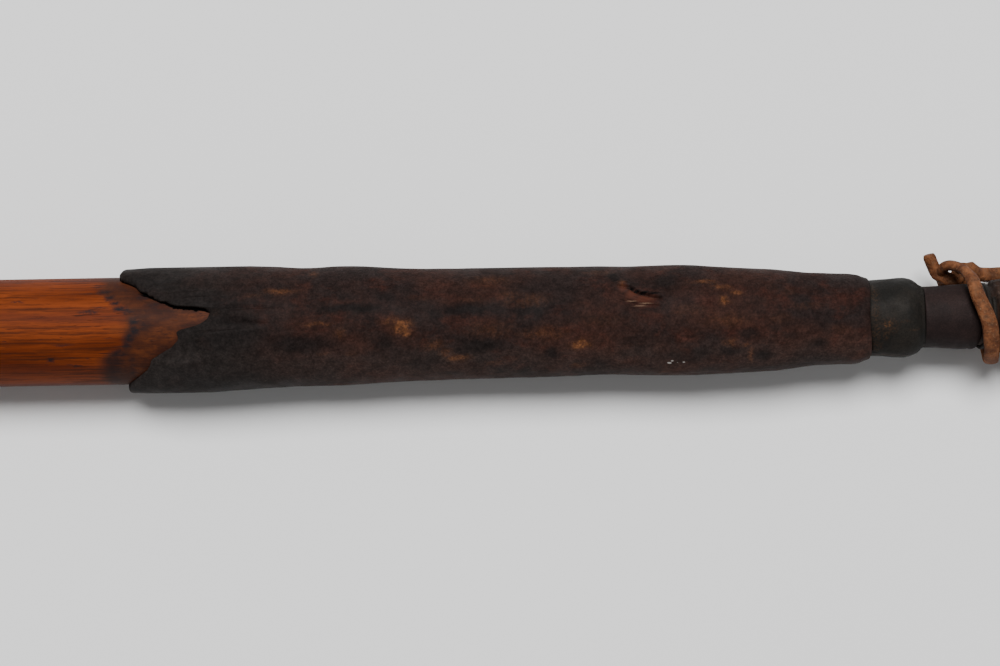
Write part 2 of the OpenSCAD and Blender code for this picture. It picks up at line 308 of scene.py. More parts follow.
def leather_bump(shader, pebble, pebble_height, crease=0.0):
    """Fine pebbled grain over soft dents."""
    cells = shader.node("TexVoronoi", {"Vector": shader.wobbled(shader.place, 4 * pebble, pebble),
                                       "Scale": 1 / pebble}, feature="F1").outputs["Distance"]
    fine = shader.noise(0.35 * pebble, 3)
    height = shader.math("ADD", cells, shader.times(fine, 0.7))
    base = shader.bump(shader.noise(14 * pebble, 4), 5 * pebble_height, 0.8)
    if crease:
        lines = shader.noise(3 * pebble, 2, place=shader.scaled(0.25, 1, 1), distort=1.0)
        base = shader.bump(lines, crease, 0.6, base)
    return shader.bump(height, pebble_height, 0.7, base)


# The radii at which marks are laid out on the grip and on the wood.
GRIP_R = 10.3 * MM
WOOD_MM = 10
WOOD_R = WOOD_MM * MM

# Where the grip is worn through to its tan core: mm from the open edge, degrees from the top
# towards +Y, half length and half width in mm, strength.
GRIP_WORN = [
    (29.7, 24, 3.4, 0.7, 0.75), (24.8, 20, 2.2, 0.5, 0.5), (35.5, 49, 0.9, 1.1, 0.6),
    (51.8, -12, 2.2, 1.7, 1), (49.7, -7, 2.2, 0.8, 0.7), (52.5, -19, 1.1, 1.1, 0.9),
    (36.7, -9, 3.4, 0.5, 0.7), (40.7, -18, 1.3, 1, 0.6), (57.5, -33, 2.1, 1.2, 0.6),
    (61.8, -49, 2.6, 0.9, 0.9), (59.6, -42, 1.5, 0.9, 0.6), (68.3, -57, 1.9, 0.7, 0.45),
    (67.5, 38, 4.1, 1.7, 0.5), (71.4, 17, 2.1, 1.9, 0.5), (67.7, -17, 4.1, 1.9, 0.5),
    (18, 4, 1.1, 0.6, 0.6), (42.3, -40, 1.1, 0.4, 0.4), (37.2, -40, 1.1, 0.4, 0.35),
    (84, -35, 2.1, 1.2, 1), (77.5, -22, 4.5, 1.3, 0.55), (83.7, -62, 1.3, 0.9, 0.65),
    (110.2, 10, 1.2, 1.1, 0.9), (112.6, 19, 1.7, 0.8, 0.9), (107.2, 32, 3.0, 0.7, 0.75),
    (110.2, 26, 2.2, 0.8, 0.75), (110.7, -12, 4.5, 1.5, 0.55), (75, 13, 4.1, 1.5, 0.5),
    (111.2, -36, 1.5, 0.8, 0.65), (114.1, -39, 1.1, 0.6, 0.6), (115.4, -54, 0.7, 2, 0.7),
    (91.9, 32, 0.9, 1, 0.7),
    (99.6, -77, 1.5, 0.9, 0.6), (125.8, 3, 3, 1, 0.3), (87.7, 50, 3, 1, 0.4),
    (103.9, -1, 3.7, 1.5, 0.3), (87.6, -10, 4.5, 1.1, 0.3), (120.2, -11, 2.2, 1.1, 0.3),
    (64.2, 13, 2.2, 0.4, 0.35), (55.1, 17, 2.2, 0.6, 0.3), (122.4, 21, 1.5, 0.9, 0.3),
    (131.1, -25, 2.2, 1.2, 0.25)]
# Where the grip has gone black with grease.
GRIP_BLACK = [
    (42.5, 6, 7.9, 1, 1), (64.1, 4, 7.1, 1.2, 1), (58, -1, 1.5, 1.4, 0.9), (65.8, -35, 4.5, 1.3, 1),
    (33.4, -28, 7.1, 1.7, 0.95), (48.5, -28, 2.1, 1.4, 0.8), (48.9, 17, 2.1, 1.1, 0.9),
    (100, 33, 2.8, 2.4, 1), (75, 1, 4.1, 0.8, 0.9), (78.9, -45, 1.8, 1.5, 1), (110.9, -46, 2.1, 1, 0.9),
    (117.6, -52, 1.7, 1.3, 1), (96.7, 0, 2.6, 0.5, 0.7), (114.7, -26, 2.1, 0.9, 0.8),
    (104, -51, 5.2, 1.7, 0.7), (90.5, 41, 1.1, 1.3, 0.8), (94.8, -32, 4.5, 1.2, 0.55),
    (54.8, -53, 4.5, 1.5, 0.5), (87.7, -58, 2.2, 1.1, 0.6), (22.7, -19, 4.5, 3, 0.8),
    (127.6, -42, 2.2, 1.3, 0.7), (133.4, 8, 0.7, 2.4, 0.4), (105.7, -27, 2.2, 0.6, 0.5),
    (82.4, 23, 2.2, 0.9, 0.5), (122.1, -30, 1.9, 0.7, 0.6)]
# Painted shade: near-black spots in the torn cuts, the last ones along the lap seam's groove. Then the
# bare red leather below the cuts, and its pale lip.
GRIP_PAINTED_SHADE = [(93.4, 25, 0.8, 0.3, 1), (94.4, 21.5, 0.8, 0.3, 1), (95.8, 19.5, 1.0, 0.26, 1),
            (97.5, 18, 1.1, 0.2, 1), (91, 36, 0.7, 0.25, 0.6),
            (119, -75, 3.0, 0.1, 0.9), (124, -76, 3.0, 0.1, 0.9), (129, -77, 3.0, 0.1, 0.9),
            (134, -75.5, 3.0, 0.1, 0.9)]
GRIP_RED = [(95.8, 12, 1.9, 0.7, 1), (93.6, 18, 1.2, 0.9, 1), (92.0, 26, 0.9, 1.0, 0.8)]
GRIP_LIP = [(93.5, 9.5, 1.0, 0.14, 1), (96, 7, 1.1, 0.14, 1), (94.9, 4.5, 1.2, 0.12, 0.8),
            (97.6, 12.5, 0.7, 0.12, 0.7)]
# Flecks of white paint.
PAINT_FLECKS = [(100.4, -60, 0.5, 0.3, 1), (100.8, -57, 0.3, 0.2, 0.9), (101.8, -59, 0.22, 0.16, 0.6),
                (103.0, -58.5, 0.32, 0.2, 0.8)]


def grip_leather():
    shader = Shader("grip_leather")
    flat = shader.unrolled(GRIP_R)
    along, round_ = shader.axis(flat, "X"), shader.axis(flat, "Y")
    uneven = shader.wobbled(flat, 2.2 * MM, 2.4 * MM)
    clouds = shader.patches(9 * MM, 5, 0.6, 0.36, 0.66, place=shader.scaled(0.6, 1, 1))
    colour = shader.mix(clouds, (0.0160, 0.0102, 0.0092), (0.0275, 0.0120, 0.0090))
    reddish = shader.patches(5 * MM, 5, 0.65, 0.48, 0.7, 0, 0.75, shader.scaled(0.7, 1, 1))
    colour = shader.mix(reddish, colour, (0.0370, 0.0125, 0.0085))
    worn = shader.spots(uneven, GRIP_R, GRIP_WORN)
    speckle = shader.patches(0.8 * MM, 6, 0.8, 0.34, 0.66, 0.15, 1.25)
    tan = shader.mix(shader.range(worn, 0.4, 1.0), (0.050, 0.0200, 0.0105), (0.112, 0.043, 0.0170))
    colour = shader.mix(shader.times(worn, speckle), colour, tan)
    # Painted light and shade: down its near side the grip is greyed by a painted sheen and painted
    # brighter. On top it is painted darker, on the far side brighter and underneath darker.
    dust_and_sheen = shader.range(round_, -4 * MM, -10 * MM, 0, 0.35)
    colour = shader.mix(dust_and_sheen, colour, (0.0220, 0.0170, 0.0150))
    # Painted light: a brightness level by the way round, brighter down the near side and on the far side,
    # darker on top and underneath.
    level = shader.range(round_, -10 * MM, -1 * MM, 1.5, 0.82)
    level = shader.times(level, shader.range(round_, 3 * MM, 8 * MM, 1, 1.2))
    level = shader.times(level, shader.range(round_, -26 * MM, -14 * MM, 0.65, 1))
    black = shader.spots(uneven, GRIP_R, GRIP_BLACK)
    colour = shader.mix(shader.times(black, 0.92), colour, (0.0088, 0.0066, 0.0062))
    # It is black with grease towards the open edge.
    slanted = shader.math("ADD", along, shader.times(round_, 0.7))
    greased = shader.times(shader.range(slanted, 36 * MM, 14 * MM),
                           shader.range(along, 60 * MM, 22 * MM, 0, 0.85))
    colour = shader.mix(greased, colour, (0.0112, 0.0096, 0.0090))
    mottled = shader.patches(1.5 * MM, 6, 0.8, 0.34, 0.66, 0.70, 1.32)
    grain = shader.patches(0.45 * MM, 4, 0.75, 0.28, 0.76, 0.66, 1.38)
    # The painted light level multiplies the colour here, together with the grain and mottling.
    colour = shader.shaded(colour, shader.times(level, shader.times(grain, mottled)))
    sharp = shader.wobbled(flat, 0.5 * MM, 0.5 * MM)
    # The last list paints shade: the torn cuts and the lap seam's groove are painted near black.
    for listed, paint in ((GRIP_RED, (0.055, 0.0175, 0.0105)), (GRIP_LIP, (0.105, 0.063, 0.042)),
                          (GRIP_PAINTED_SHADE, (0.0015, 0.0010, 0.0010))):
        colour = shader.mix(shader.spots(sharp, GRIP_R, listed), colour, paint)
    flecks = shader.range(shader.spots(sharp, GRIP_R, PAINT_FLECKS), 0.4, 0.75, 0, 0.9)
    colour = shader.mix(flecks, colour, (0.33, 0.31, 0.29))
    shine = shader.range(shader.noise(5 * MM, 4), 0.3, 0.7, 0.56, 0.74)
    return shader.set(Base_Color=colour, Roughness=shine, Specular_IOR_Level=0.05,
                      Normal=leather_bump(shader, 0.42 * MM, 0.03 * MM, 0.03 * MM))


# Stains on the wood at the sleeve's open edge, and its cleaner places inside the notch: mm along,
# degrees round, half sizes in mm, strength.
WOOD_STAINS = [
    (-4.1, 44, 1.2, 0.5, 0.6), (-2.7, 34, 1.2, 0.6, 0.8), (-1.4, 25, 1.0, 0.6, 0.9),
    (-0.4, 18, 0.9, 0.6, 0.9), (0.6, 12, 1.2, 0.8, 1.0), (1.9, 9, 1.3, 0.6, 0.9),
    (-4.9, 9, 1.8, 0.3, 0.85), (-3.0, 13, 1.6, 0.3, 0.65), (3.3, -3, 1.0, 0.9, 0.9),
    (3.4, -11, 1.1, 1.1, 1.0), (2.5, -19, 1.0, 1.0, 0.9), (5.2, -8, 1.4, 0.7, 0.6),
    (1.9, -27, 0.9, 1.1, 0.75), (0.4, -36, 1.8, 1.0, 0.8), (-0.6, -46, 2.2, 1.3, 0.6),
    (-1.2, -57, 2.4, 1.4, 0.6), (-1.5, -72, 2.6, 2.0, 0.55), (2.6, -46, 0.8, 1.4, 0.6),
    (2.4, -60, 0.8, 1.4, 0.55), (-12.2, -43, 0.6, 0.4, 0.9), (-7.7, -51, 0.9, 0.25, 0.9),
    (-9, -48, 0.6, 0.2, 0.8), (-9.6, -26, 1.8, 0.25, 0.6), (-18.4, 21, 1.4, 0.2, 0.7),
    (4.6, 25, 1.2, 0.5, 0.55), (6.6, 15, 1.6, 0.8, 0.65)]
WOOD_CLEAN = [
    (15.6, 4, 1.2, 0.9, 1.0), (13.8, 1, 1.7, 0.9, 1.0), (12.2, 4, 1.5, 0.6, 0.8),
    (10.4, -4, 1.6, 1.0, 0.6), (7.7, -13, 2.0, 1.0, 0.9), (5.9, -21, 1.5, 0.9, 0.9),
    (9.6, -18, 1.7, 1.2, 0.9), (3.9, -35, 1.3, 1.1, 0.9), (5.2, -41, 1.0, 1.0, 0.7),
    (3.3, -61, 0.9, 1.8, 0.75), (1.9, -80, 0.8, 1.8, 0.6), (2.6, 44, 1.6, 1.1, 0.5),
    (0.5, 50, 1.2, 0.8, 0.5), (3.9, -1, 1.3, 0.16, 1.0), (0.2, 1, 1.2, 0.1, 0.8),
    (6.4, -29, 1.4, 1.0, 0.8)]


def wood():
    shader = Shader("oiled_hardwood")
    flat = shader.unrolled(WOOD_R)
    bent = shader.wobbled(shader.place, 28 * MM, 1.4 * MM)
    broad = shader.noise(3.2 * MM, 3, 0.5, shader.scaled(0.1, 1, 1, bent))
    colour = shader.mix(shader.range(broad, 0.34, 0.66), (0.078, 0.0140, 0.0040), (0.172, 0.035, 0.0082))
    streaks = shader.noise(0.48 * MM, 4, 0.6, shader.scaled(0.024, 1, 1, bent))
    colour = shader.mix(shader.range(streaks, 0.44, 0.66, 0, 0.85), colour, (0.040, 0.0100, 0.0040))
    fine = shader.noise(0.2 * MM, 3, 0.65, shader.scaled(0.04, 1, 1, bent))
    colour = shader.mix(shader.range(fine, 0.5, 0.72, 0, 0.6), colour, (0.030, 0.0090, 0.0042))
    pores = shader.range(shader.noise(0.5 * MM, 2, 0.5, shader.scaled(0.1, 1, 1, bent), 0.3), 0.65, 0.74)
    colour = shader.mix(shader.times(pores, 0.7), colour, (0.0120, 0.0068, 0.0055))
    rubbed = shader.patches(9 * MM, 3, 0.5, 0.52, 0.7, 0, 0.4, shader.scaled(0.3, 1, 1))
    colour = shader.mix(rubbed, colour, (0.070, 0.026, 0.0105))
    # The stain that the sleeve has left ends in a bow, further back down both sides.
    uneven = shader.wobbled(flat, 2.4 * MM, 2.2 * MM)
    along, round_ = shader.axis(uneven, "X"), shader.axis(uneven, "Y")
    bow = shader.math("ADD", shader.range(round_, 1.2 * MM, 6.2 * MM, 0, 5.2 * MM),
                      shader.range(round_, -4.8 * MM, -7.6 * MM, 0, 4.8 * MM))
    covered = shader.range(shader.math("ADD", along, bow), 0.1 * MM, 3.2 * MM)
    aged = shader.mix(shader.patches(2.2 * MM, 5, 0.7, 0.36, 0.66, place=shader.scaled(0.6, 1, 1)),
                      (0.0215, 0.0092, 0.0070), (0.048, 0.0165, 0.0082))
    aged = shader.mix(shader.range(fine, 0.5, 0.74, 0, 0.5), aged, (0.0130, 0.0078, 0.0062))
    colour = shader.mix(shader.times(covered, 0.88), colour, aged)
    clean = shader.spots(shader.wobbled(flat, 1.6 * MM, 1.8 * MM), WOOD_R, WOOD_CLEAN)
    speckle = shader.patches(0.5 * MM, 4, 0.7, 0.34, 0.62, place=shader.scaled(0.3, 1, 1))
    colour = shader.mix(shader.times(clean, speckle), colour, (0.080, 0.0235, 0.0090))
    stains = shader.spots(shader.wobbled(flat, 1.4 * MM, 1.8 * MM), WOOD_R, WOOD_STAINS)
    broken = shader.patches(0.8 * MM, 5, 0.75, 0.34, 0.6, 0.3, 1.15, shader.scaled(0.3, 1, 1))
    colour = shader.mix(shader.times(shader.times(stains, broken), 0.9), colour, (0.0105, 0.0088, 0.0105))
    # Painted shadow in the gap under the torn edge, where the wood is painted near black: steep at first,
    # then nearly along the stick.
    ragged = shader.wobbled(flat, 1.3 * MM, 1.1 * MM)
    along, round_ = shader.axis(ragged, "X"), shader.axis(ragged, "Y")
    before = shader.minus(10.5 * MM, along)
    edge = shader.math("MAXIMUM", shader.times(before, 0.49), shader.times(before, 0.12))
    above = shader.minus(shader.minus(round_, 1.8 * MM), edge)
    gap = shader.times(shader.range(above, -0.05 * MM, 0.12 * MM), shader.range(along, 3 * MM, 5 * MM))
    # Painted shadow: the wood in the gap under the torn edge is painted near black.
    colour = shader.mix(gap, colour, (0.0008, 0.0006, 0.0006))
    height = shader.minus(shader.times(streaks, -0.5), pores)
    shine = shader.math("MAXIMUM", shader.range(broad, 0.3, 0.7, 0.5, 0.62), gap)
    return shader.set(Base_Color=colour, Roughness=shine, Specular_IOR_Level=0.05,
                      Normal=shader.bump(height, 0.05 * MM, 0.7))


def plain_leather(name, dark, light, pebble, height, roughness, worn=(), worn_colour=()):
    """Leather of two cloudy tones with grain, and worn spots where they are listed."""
    shader = Shader(name)
    colour = shader.mix(shader.patches(12 * pebble, 5, 0.65, 0.36, 0.66), dark, light)
    if worn:
        flat = shader.wobbled(shader.unrolled(GRIP_R), 2 * MM, 1.5 * MM)
        speckle = shader.patches(0.4 * MM, 4, 0.7, 0.38, 0.68)
        colour = shader.mix(shader.times(shader.spots(flat, GRIP_R, worn), speckle), colour, worn_colour)
    colour = shader.shaded(colour, shader.patches(0.7 * pebble, 3, 0.7, 0.25, 0.8, 0.7, 1.35))
    shine = shader.range(shader.noise(8 * pebble, 3), 0.3, 0.7, roughness - 0.07, roughness + 0.08)
    return shader.set(Base_Color=colour, Roughness=shine, Specular_IOR_Level=0.07,
                      Normal=leather_bump(shader, pebble, height))


def flap_leather():
    """Thick saddle leather: a smooth grain side, a rougher paler underside, and dark rubbed edges."""
    shader = Shader("flap_leather")
    colour = shader.mix(shader.patches(22 * MM, 5, 0.6, 0.34, 0.66),
                        (0.030, 0.0125, 0.0065), (0.072, 0.029, 0.0125))
    blotches = shader.patches(7 * MM, 5, 0.65, 0.52, 0.7, 0, 0.65)
    colour = shader.mix(blotches, colour, (0.0175, 0.0090, 0.0060))
    rubbed = shader.patches(5 * MM, 6, 0.7, 0.58, 0.72, 0, 0.6)
    colour = shader.mix(rubbed, colour, (0.135, 0.058, 0.024))
    curved = shader.scaled(1, 0.06, 1, shader.wobbled(shader.place, 30 * MM, 12 * MM))
    scratches = shader.noise(0.6 * MM, 2, 0.5, curved)
    colour = shader.mix(shader.range(scratches, 0.69, 0.73, 0, 0.55), colour, (0.150, 0.075, 0.036))
    up = shader.facing_up()
    flesh = shader.mix(shader.patches(1.3 * MM, 5, 0.75, 0.3, 0.7),
                       (0.080, 0.042, 0.023), (0.150, 0.088, 0.052))
    colour = shader.mix(shader.range(up, -0.6, -0.85), colour, flesh)
    edge = shader.minus(1.0, shader.math("ABSOLUTE", up))
    colour = shader.mix(shader.range(edge, 0.25, 0.75, 0, 0.85), colour, (0.0140, 0.0080, 0.0060))
    colour = shader.shaded(colour, shader.patches(0.35 * MM, 3, 0.7, 0.25, 0.8, 0.78, 1.25))
    shine = shader.range(shader.noise(12 * MM, 4), 0.3, 0.7, 0.5, 0.66)
    under = leather_bump(shader, 0.5 * MM, 0.035 * MM, 0.04 * MM)
    return shader.set(Base_Color=colour, Roughness=shine, Specular_IOR_Level=0.12,
                      Normal=shader.bump(scratches, 0.05 * MM, 0.5, under))


def lace_leather():
    shader = Shader("lace_leather")
    clouds = shader.patches(2.6 * MM, 5, 0.7, 0.34, 0.66)
    colour = shader.mix(clouds, (0.078, 0.0270, 0.0120), (0.205, 0.078, 0.032))
    grease = shader.patches(1.1 * MM, 5, 0.75, 0.5, 0.7, 0, 0.85)
    colour = shader.mix(grease, colour, (0.034, 0.0155, 0.0095))
    dust_and_sheen = shader.times(shader.range(shader.facing_up(), 0.55, 0.98),
                         shader.patches(0.9 * MM, 4, 0.7, 0.4, 0.62, 0.05, 0.5))
    colour = shader.mix(dust_and_sheen, colour, (0.072, 0.041, 0.025))
    pale = shader.patches(0.45 * MM, 5, 0.8, 0.56, 0.7, 0, 0.75)
    colour = shader.mix(pale, colour, (0.25, 0.135, 0.072))
    bump = shader.bump(shader.noise(0.3 * MM, 5, 0.8), 0.12 * MM, 0.9, shader.bump(clouds, 0.25 * MM, 0.7))
    return shader.set(Base_Color=colour, Roughness=0.7, Specular_IOR_Level=0.08, Normal=bump)


TWIST = 1.1 * MM                             # one turn of a thread's strands


def thread(name, dark, light):
    """Waxed twisted linen."""
    shader = Shader(name)
    twist = shader.node("TexWave", {"Vector": shader.place, "Scale": 1 / TWIST / 6.28,
                                    "Distortion": 1.5, "Detail": 2.0},
                        bands_direction="DIAGONAL").outputs["Fac"]
    fuzz = shader.noise(0.25 * MM, 4, 0.7)
    colour = shader.mix(shader.range(fuzz, 0.3, 0.7), dark, light)
    return shader.set(Base_Color=colour, Roughness=0.65, Specular_IOR_Level=0.1,
                      Normal=shader.bump(shader.math("ADD", twist, fuzz), 0.06 * MM, 0.8))


def copper():
    shader = Shader("aged_copper")
    tarnish = shader.patches(1.6 * MM, 5, 0.65, 0.35, 0.68)
    colour = shader.mix(tarnish, (0.60, 0.27, 0.14), (0.14, 0.065, 0.04))
    colour = shader.mix(shader.patches(0.9 * MM, 4, 0.7, 0.66, 0.78, 0, 0.5), colour, (0.10, 0.19, 0.14))
    return shader.set(Base_Color=colour, Metallic=1.0, Roughness=shader.range(tarnish, 0, 1, 0.28, 0.6),
                      Normal=shader.bump(shader.noise(0.5 * MM, 3), 0.05 * MM, 0.6))


def table_top():
    shader = Shader("pale_table")
    tone = shader.range(shader.noise(0.25, 3), 0.3, 0.7, 0.78, 0.80)
    specks = shader.patches(1.6 * MM, 2, 0.5, 0.795, 0.83, 1.0, 0.55)
    return shader.set(Base_Color=shader.grey(shader.times(tone, specks)), Roughness=0.75,
                      Specular_IOR_Level=0.25)


# --- Camera, light and table ------------------------------------------------------------------------

CAMERA_DISTANCE = 0.311
CAMERA_ELEVATION = math.radians(78)
CAMERA_ROLL = math.radians(1.0)
VIEW_PAST_OPEN_EDGE = 69.5 * MM              # the picture's middle, from the sleeve's open edge
VIEW_BELOW_AXIS = 1.62 * MM


def make_camera():
    data = bpy.data.cameras.new("camera")
    data.lens = 60
    data.sensor_width = 36
    data.clip_start = 0.01
    camera = add_object("camera", data)
    target = Vector((X_OPEN + VIEW_PAST_OPEN_EDGE, -VIEW_BELOW_AXIS, AXIS_Z))
    back = Vector((0, -math.cos(CAMERA_ELEVATION), math.sin(CAMERA_ELEVATION)))
    camera.location = target + back * CAMERA_DISTANCE
    camera.rotation_euler = back.to_track_quat("Z", "Y").to_euler()
    camera.rotation_euler.rotate_axis("Z", -CAMERA_ROLL)
    bpy.context.scene.camera = camera


def area_light(name, direction, distance, size, watts, target):
    data = bpy.data.lights.new(name, "AREA")
    data.shape = "DISK"
    data.size = size
    data.energy = watts
    light = add_object(name, data)
    light.location = target + direction.normalized() * distance
    light.rotation_euler = direction.to_track_quat("Z", "Y").to_euler()


def make_light():
    middle = Vector((X_OPEN + VIEW_PAST_OPEN_EDGE, 0, 0))
    area_light("key", Vector((-0.04, 0.29, 1.0)), 1.6, 0.8, 41, middle)
    area_light("fill", Vector((0.9, -0.7, 0.9)), 1.8, 1.6, 4, middle)
    world = bpy.data.worlds.new("studio")
    world.use_nodes = True
    world.node_tree.nodes["Background"].inputs["Color"].default_value = (1, 1, 1, 1)
    world.node_tree.nodes["Background"].inputs["Strength"].default_value = 0.18
    bpy.context.scene.world = world


def make_table():
    bpy.ops.mesh.primitive_plane_add(size=6, location=(0, 0, 0))
    floor = bpy.context.object
    floor.name = "table"
    floor.data.materials.append(table_top())


# --- Grip -----------------------------------------------------------------------------------------

AROUND, GRIP_RINGS = 216, 340
TORN = (3, 32)                               # degrees round, the notch's torn far side
# Half the grip's thickness, at mm from its open edge.
GRIP_PROFILE = [(0, 11.65), (5, 11.75), (14, 11.6), (22, 11.4), (32, 11.05), (42, 10.8), (52, 10.5),
                (62, 10.25), (76, 10.2), (90, 10.05), (106, 10.15), (112, 9.8), (121, 9.3),
                (126, 8.85), (131, 8.5), (134.6, 8.3), (136.2, 8.08), (137.3, 7.65), (138.5, 7.3)]
# How much further out the far side is, and then the near side, at mm from the open edge.
FAR_SIDE = [(0, 0.3), (20, 0.3), (50, 0.36), (70, 0.42), (88, 0.46), (96, 0.3), (103, 0.18), (112, 0.18),
            (121, 0.08), (127, -0.06), (134, 0.04), (139, 0)]
NEAR_SIDE = [(10, 0), (24, -0.4), (60, -0.45), (78, -0.4), (90, -0.27), (103, -0.15), (112, 0.07),
             (121, 0.22), (128, -0.1), (133, 0.15), (135.5, 0.42), (138.5, 0.3)]
# The open edge: degrees from the top towards +Y, mm that the leather is cut back, and mm from the axis
# to its surface there. It is thin and pressed down along the notch's near side.
OPEN_EDGE = [
    (-180, 0.3, 11.6), (-112, 0.0, 11.6), (-100, 0.1, 11.6), (-90, 0.6, 11.5), (-81, 1.5, 11.3),
    (-73, 2.6, 11.0), (-65, 3.8, 10.8), (-58, 5.0, 10.6), (-54, 5.4, 10.5), (-47, 5.8, 10.42),
    (-43, 6.3, 10.38), (-39.5, 7.3, 10.36), (-37, 8.0, 10.36), (-34, 8.9, 10.36), (-31, 9.8, 10.34),
    (-27, 10.5, 10.34), (-22, 11.1, 10.34), (-17, 11.0, 10.34), (-14, 11.0, 10.34), (-12, 11.6, 10.34),
    (-11, 12.4, 10.34), (-9.8, 13.2, 10.34), (-7.5, 14.7, 10.34), (-4, 15.9, 10.35), (-1, 16.6, 10.36),
    (3, 16.9, 10.42), (5.2, 17.0, 10.5), (6.8, 16.6, 10.7), (8.6, 16.2, 10.9), (9.2, 15.7, 10.95),
    (9.9, 14.7, 11), (10.5, 14.2, 11), (10.9, 12.3, 11), (11.5, 11.9, 11), (11.9, 10.8, 11),
    (12.9, 10.3, 11), (13.7, 9.9, 11), (16.6, 9.1, 11), (17.2, 8.0, 11), (18.2, 7.7, 11),
    (20.2, 7.0, 11), (22.9, 6.6, 11), (23.7, 5.9, 11), (26.9, 5.4, 11.05), (27.9, 4.9, 11.1),
    (29.4, 4.2, 11.1), (31.5, 3.9, 11.15), (39, 2.8, 11.2), (46, 1.2, 11.3), (50, 0.1, 11.4),
    (56, -0.5, 11.5), (66, -0.6, 11.5), (90, -0.5, 11.5), (120, 0, 11.6), (180, 0.3, 11.6)]
# The lap seam: mm from the open edge, degrees from the top.
LAP_SEAM = [(0, -112), (50, -101), (80, -92), (110, -78), (121, -75), (131, -77), (139, -73)]
# The torn nick near the far side: mm along, degrees round.
TEAR = [(91.5, 30), (93.1, 27), (94.4, 20), (97.5, 14), (98.6, 13)]
TEAR_LIP = [(91.4, 13), (93.5, 9), (96, 7), (98.4, 6)]


def near_line(s, degrees, line, radius):
    """Distance in mm, on the unrolled grip, from a place to a line of (mm, degrees) points."""
    best = 1e9
    here = np.array((s, math.radians(degrees) * radius))
    ends = [np.array((p[0], math.radians(p[1]) * radius)) for p in line]
    for a, b in zip(ends, ends[1:]):
        t = float(np.clip((here - a) @ (b - a) / ((b - a) @ (b - a)), 0, 1))
        best = min(best, float(np.linalg.norm(here - a - t * (b - a))))
    return best


def grip_radius(s, degrees):
    """The grip's surface in mm from the axis, at s mm from the open edge."""
    angle = math.radians(degrees)
    r = straight(GRIP_PROFILE, s)
    place = polar(s * MM, WOOD_R, angle)
    r += 0.15 * rough(*place, 12 * MM, 3.1) + 0.04 * rough(*place, 4 * MM, 7.7)
    far_side = max(0.0, math.sin(angle))
    near_side = max(0.0, -math.sin(angle))
    dents = 0.22 * hump((s - 43) / 9) - 0.2 * hump((s - 33) / 6) + 0.25 * hump((s - 102) / 9)
    r += far_side * (straight(FAR_SIDE, s) + dents)
    r += near_side * straight(NEAR_SIDE, s)
    seam = straight(LAP_SEAM, s)
    past = degrees - seam
    r += 0.32 * smooth(past / 1.6) * (1 - smooth(past / 70)) if past > 0 else 0.0
    r -= 0.28 * hump(past / 1.9)
    if 88 < s < 102 and -2 < degrees < 38:
        r -= 0.7 * hump(near_line(s, degrees, TEAR, 10.2) / 0.42)
        r += 0.2 * hump(near_line(s, degrees, TEAR_LIP, 10.2) / 0.35)
        r += 0.16 * hump((near_line(s, degrees, TEAR, 10.2) - 0.8) / 0.5)
        r += 0.07 * rough(*place, 0.8 * MM, 1.9) * hump((s - 95) / 4) * hump((degrees - 16) / 14)
    r -= 0.3 * hump((s - 110.6) / 0.9) * hump((degrees - 11) / 6)
    return min(r, CLEAR_OF_TABLE)


def set_back(degrees):
    """How far, in mm, the seam between grip and collar is set back at that angle."""
    return 1.0 * hump((degrees + 8) / 85)


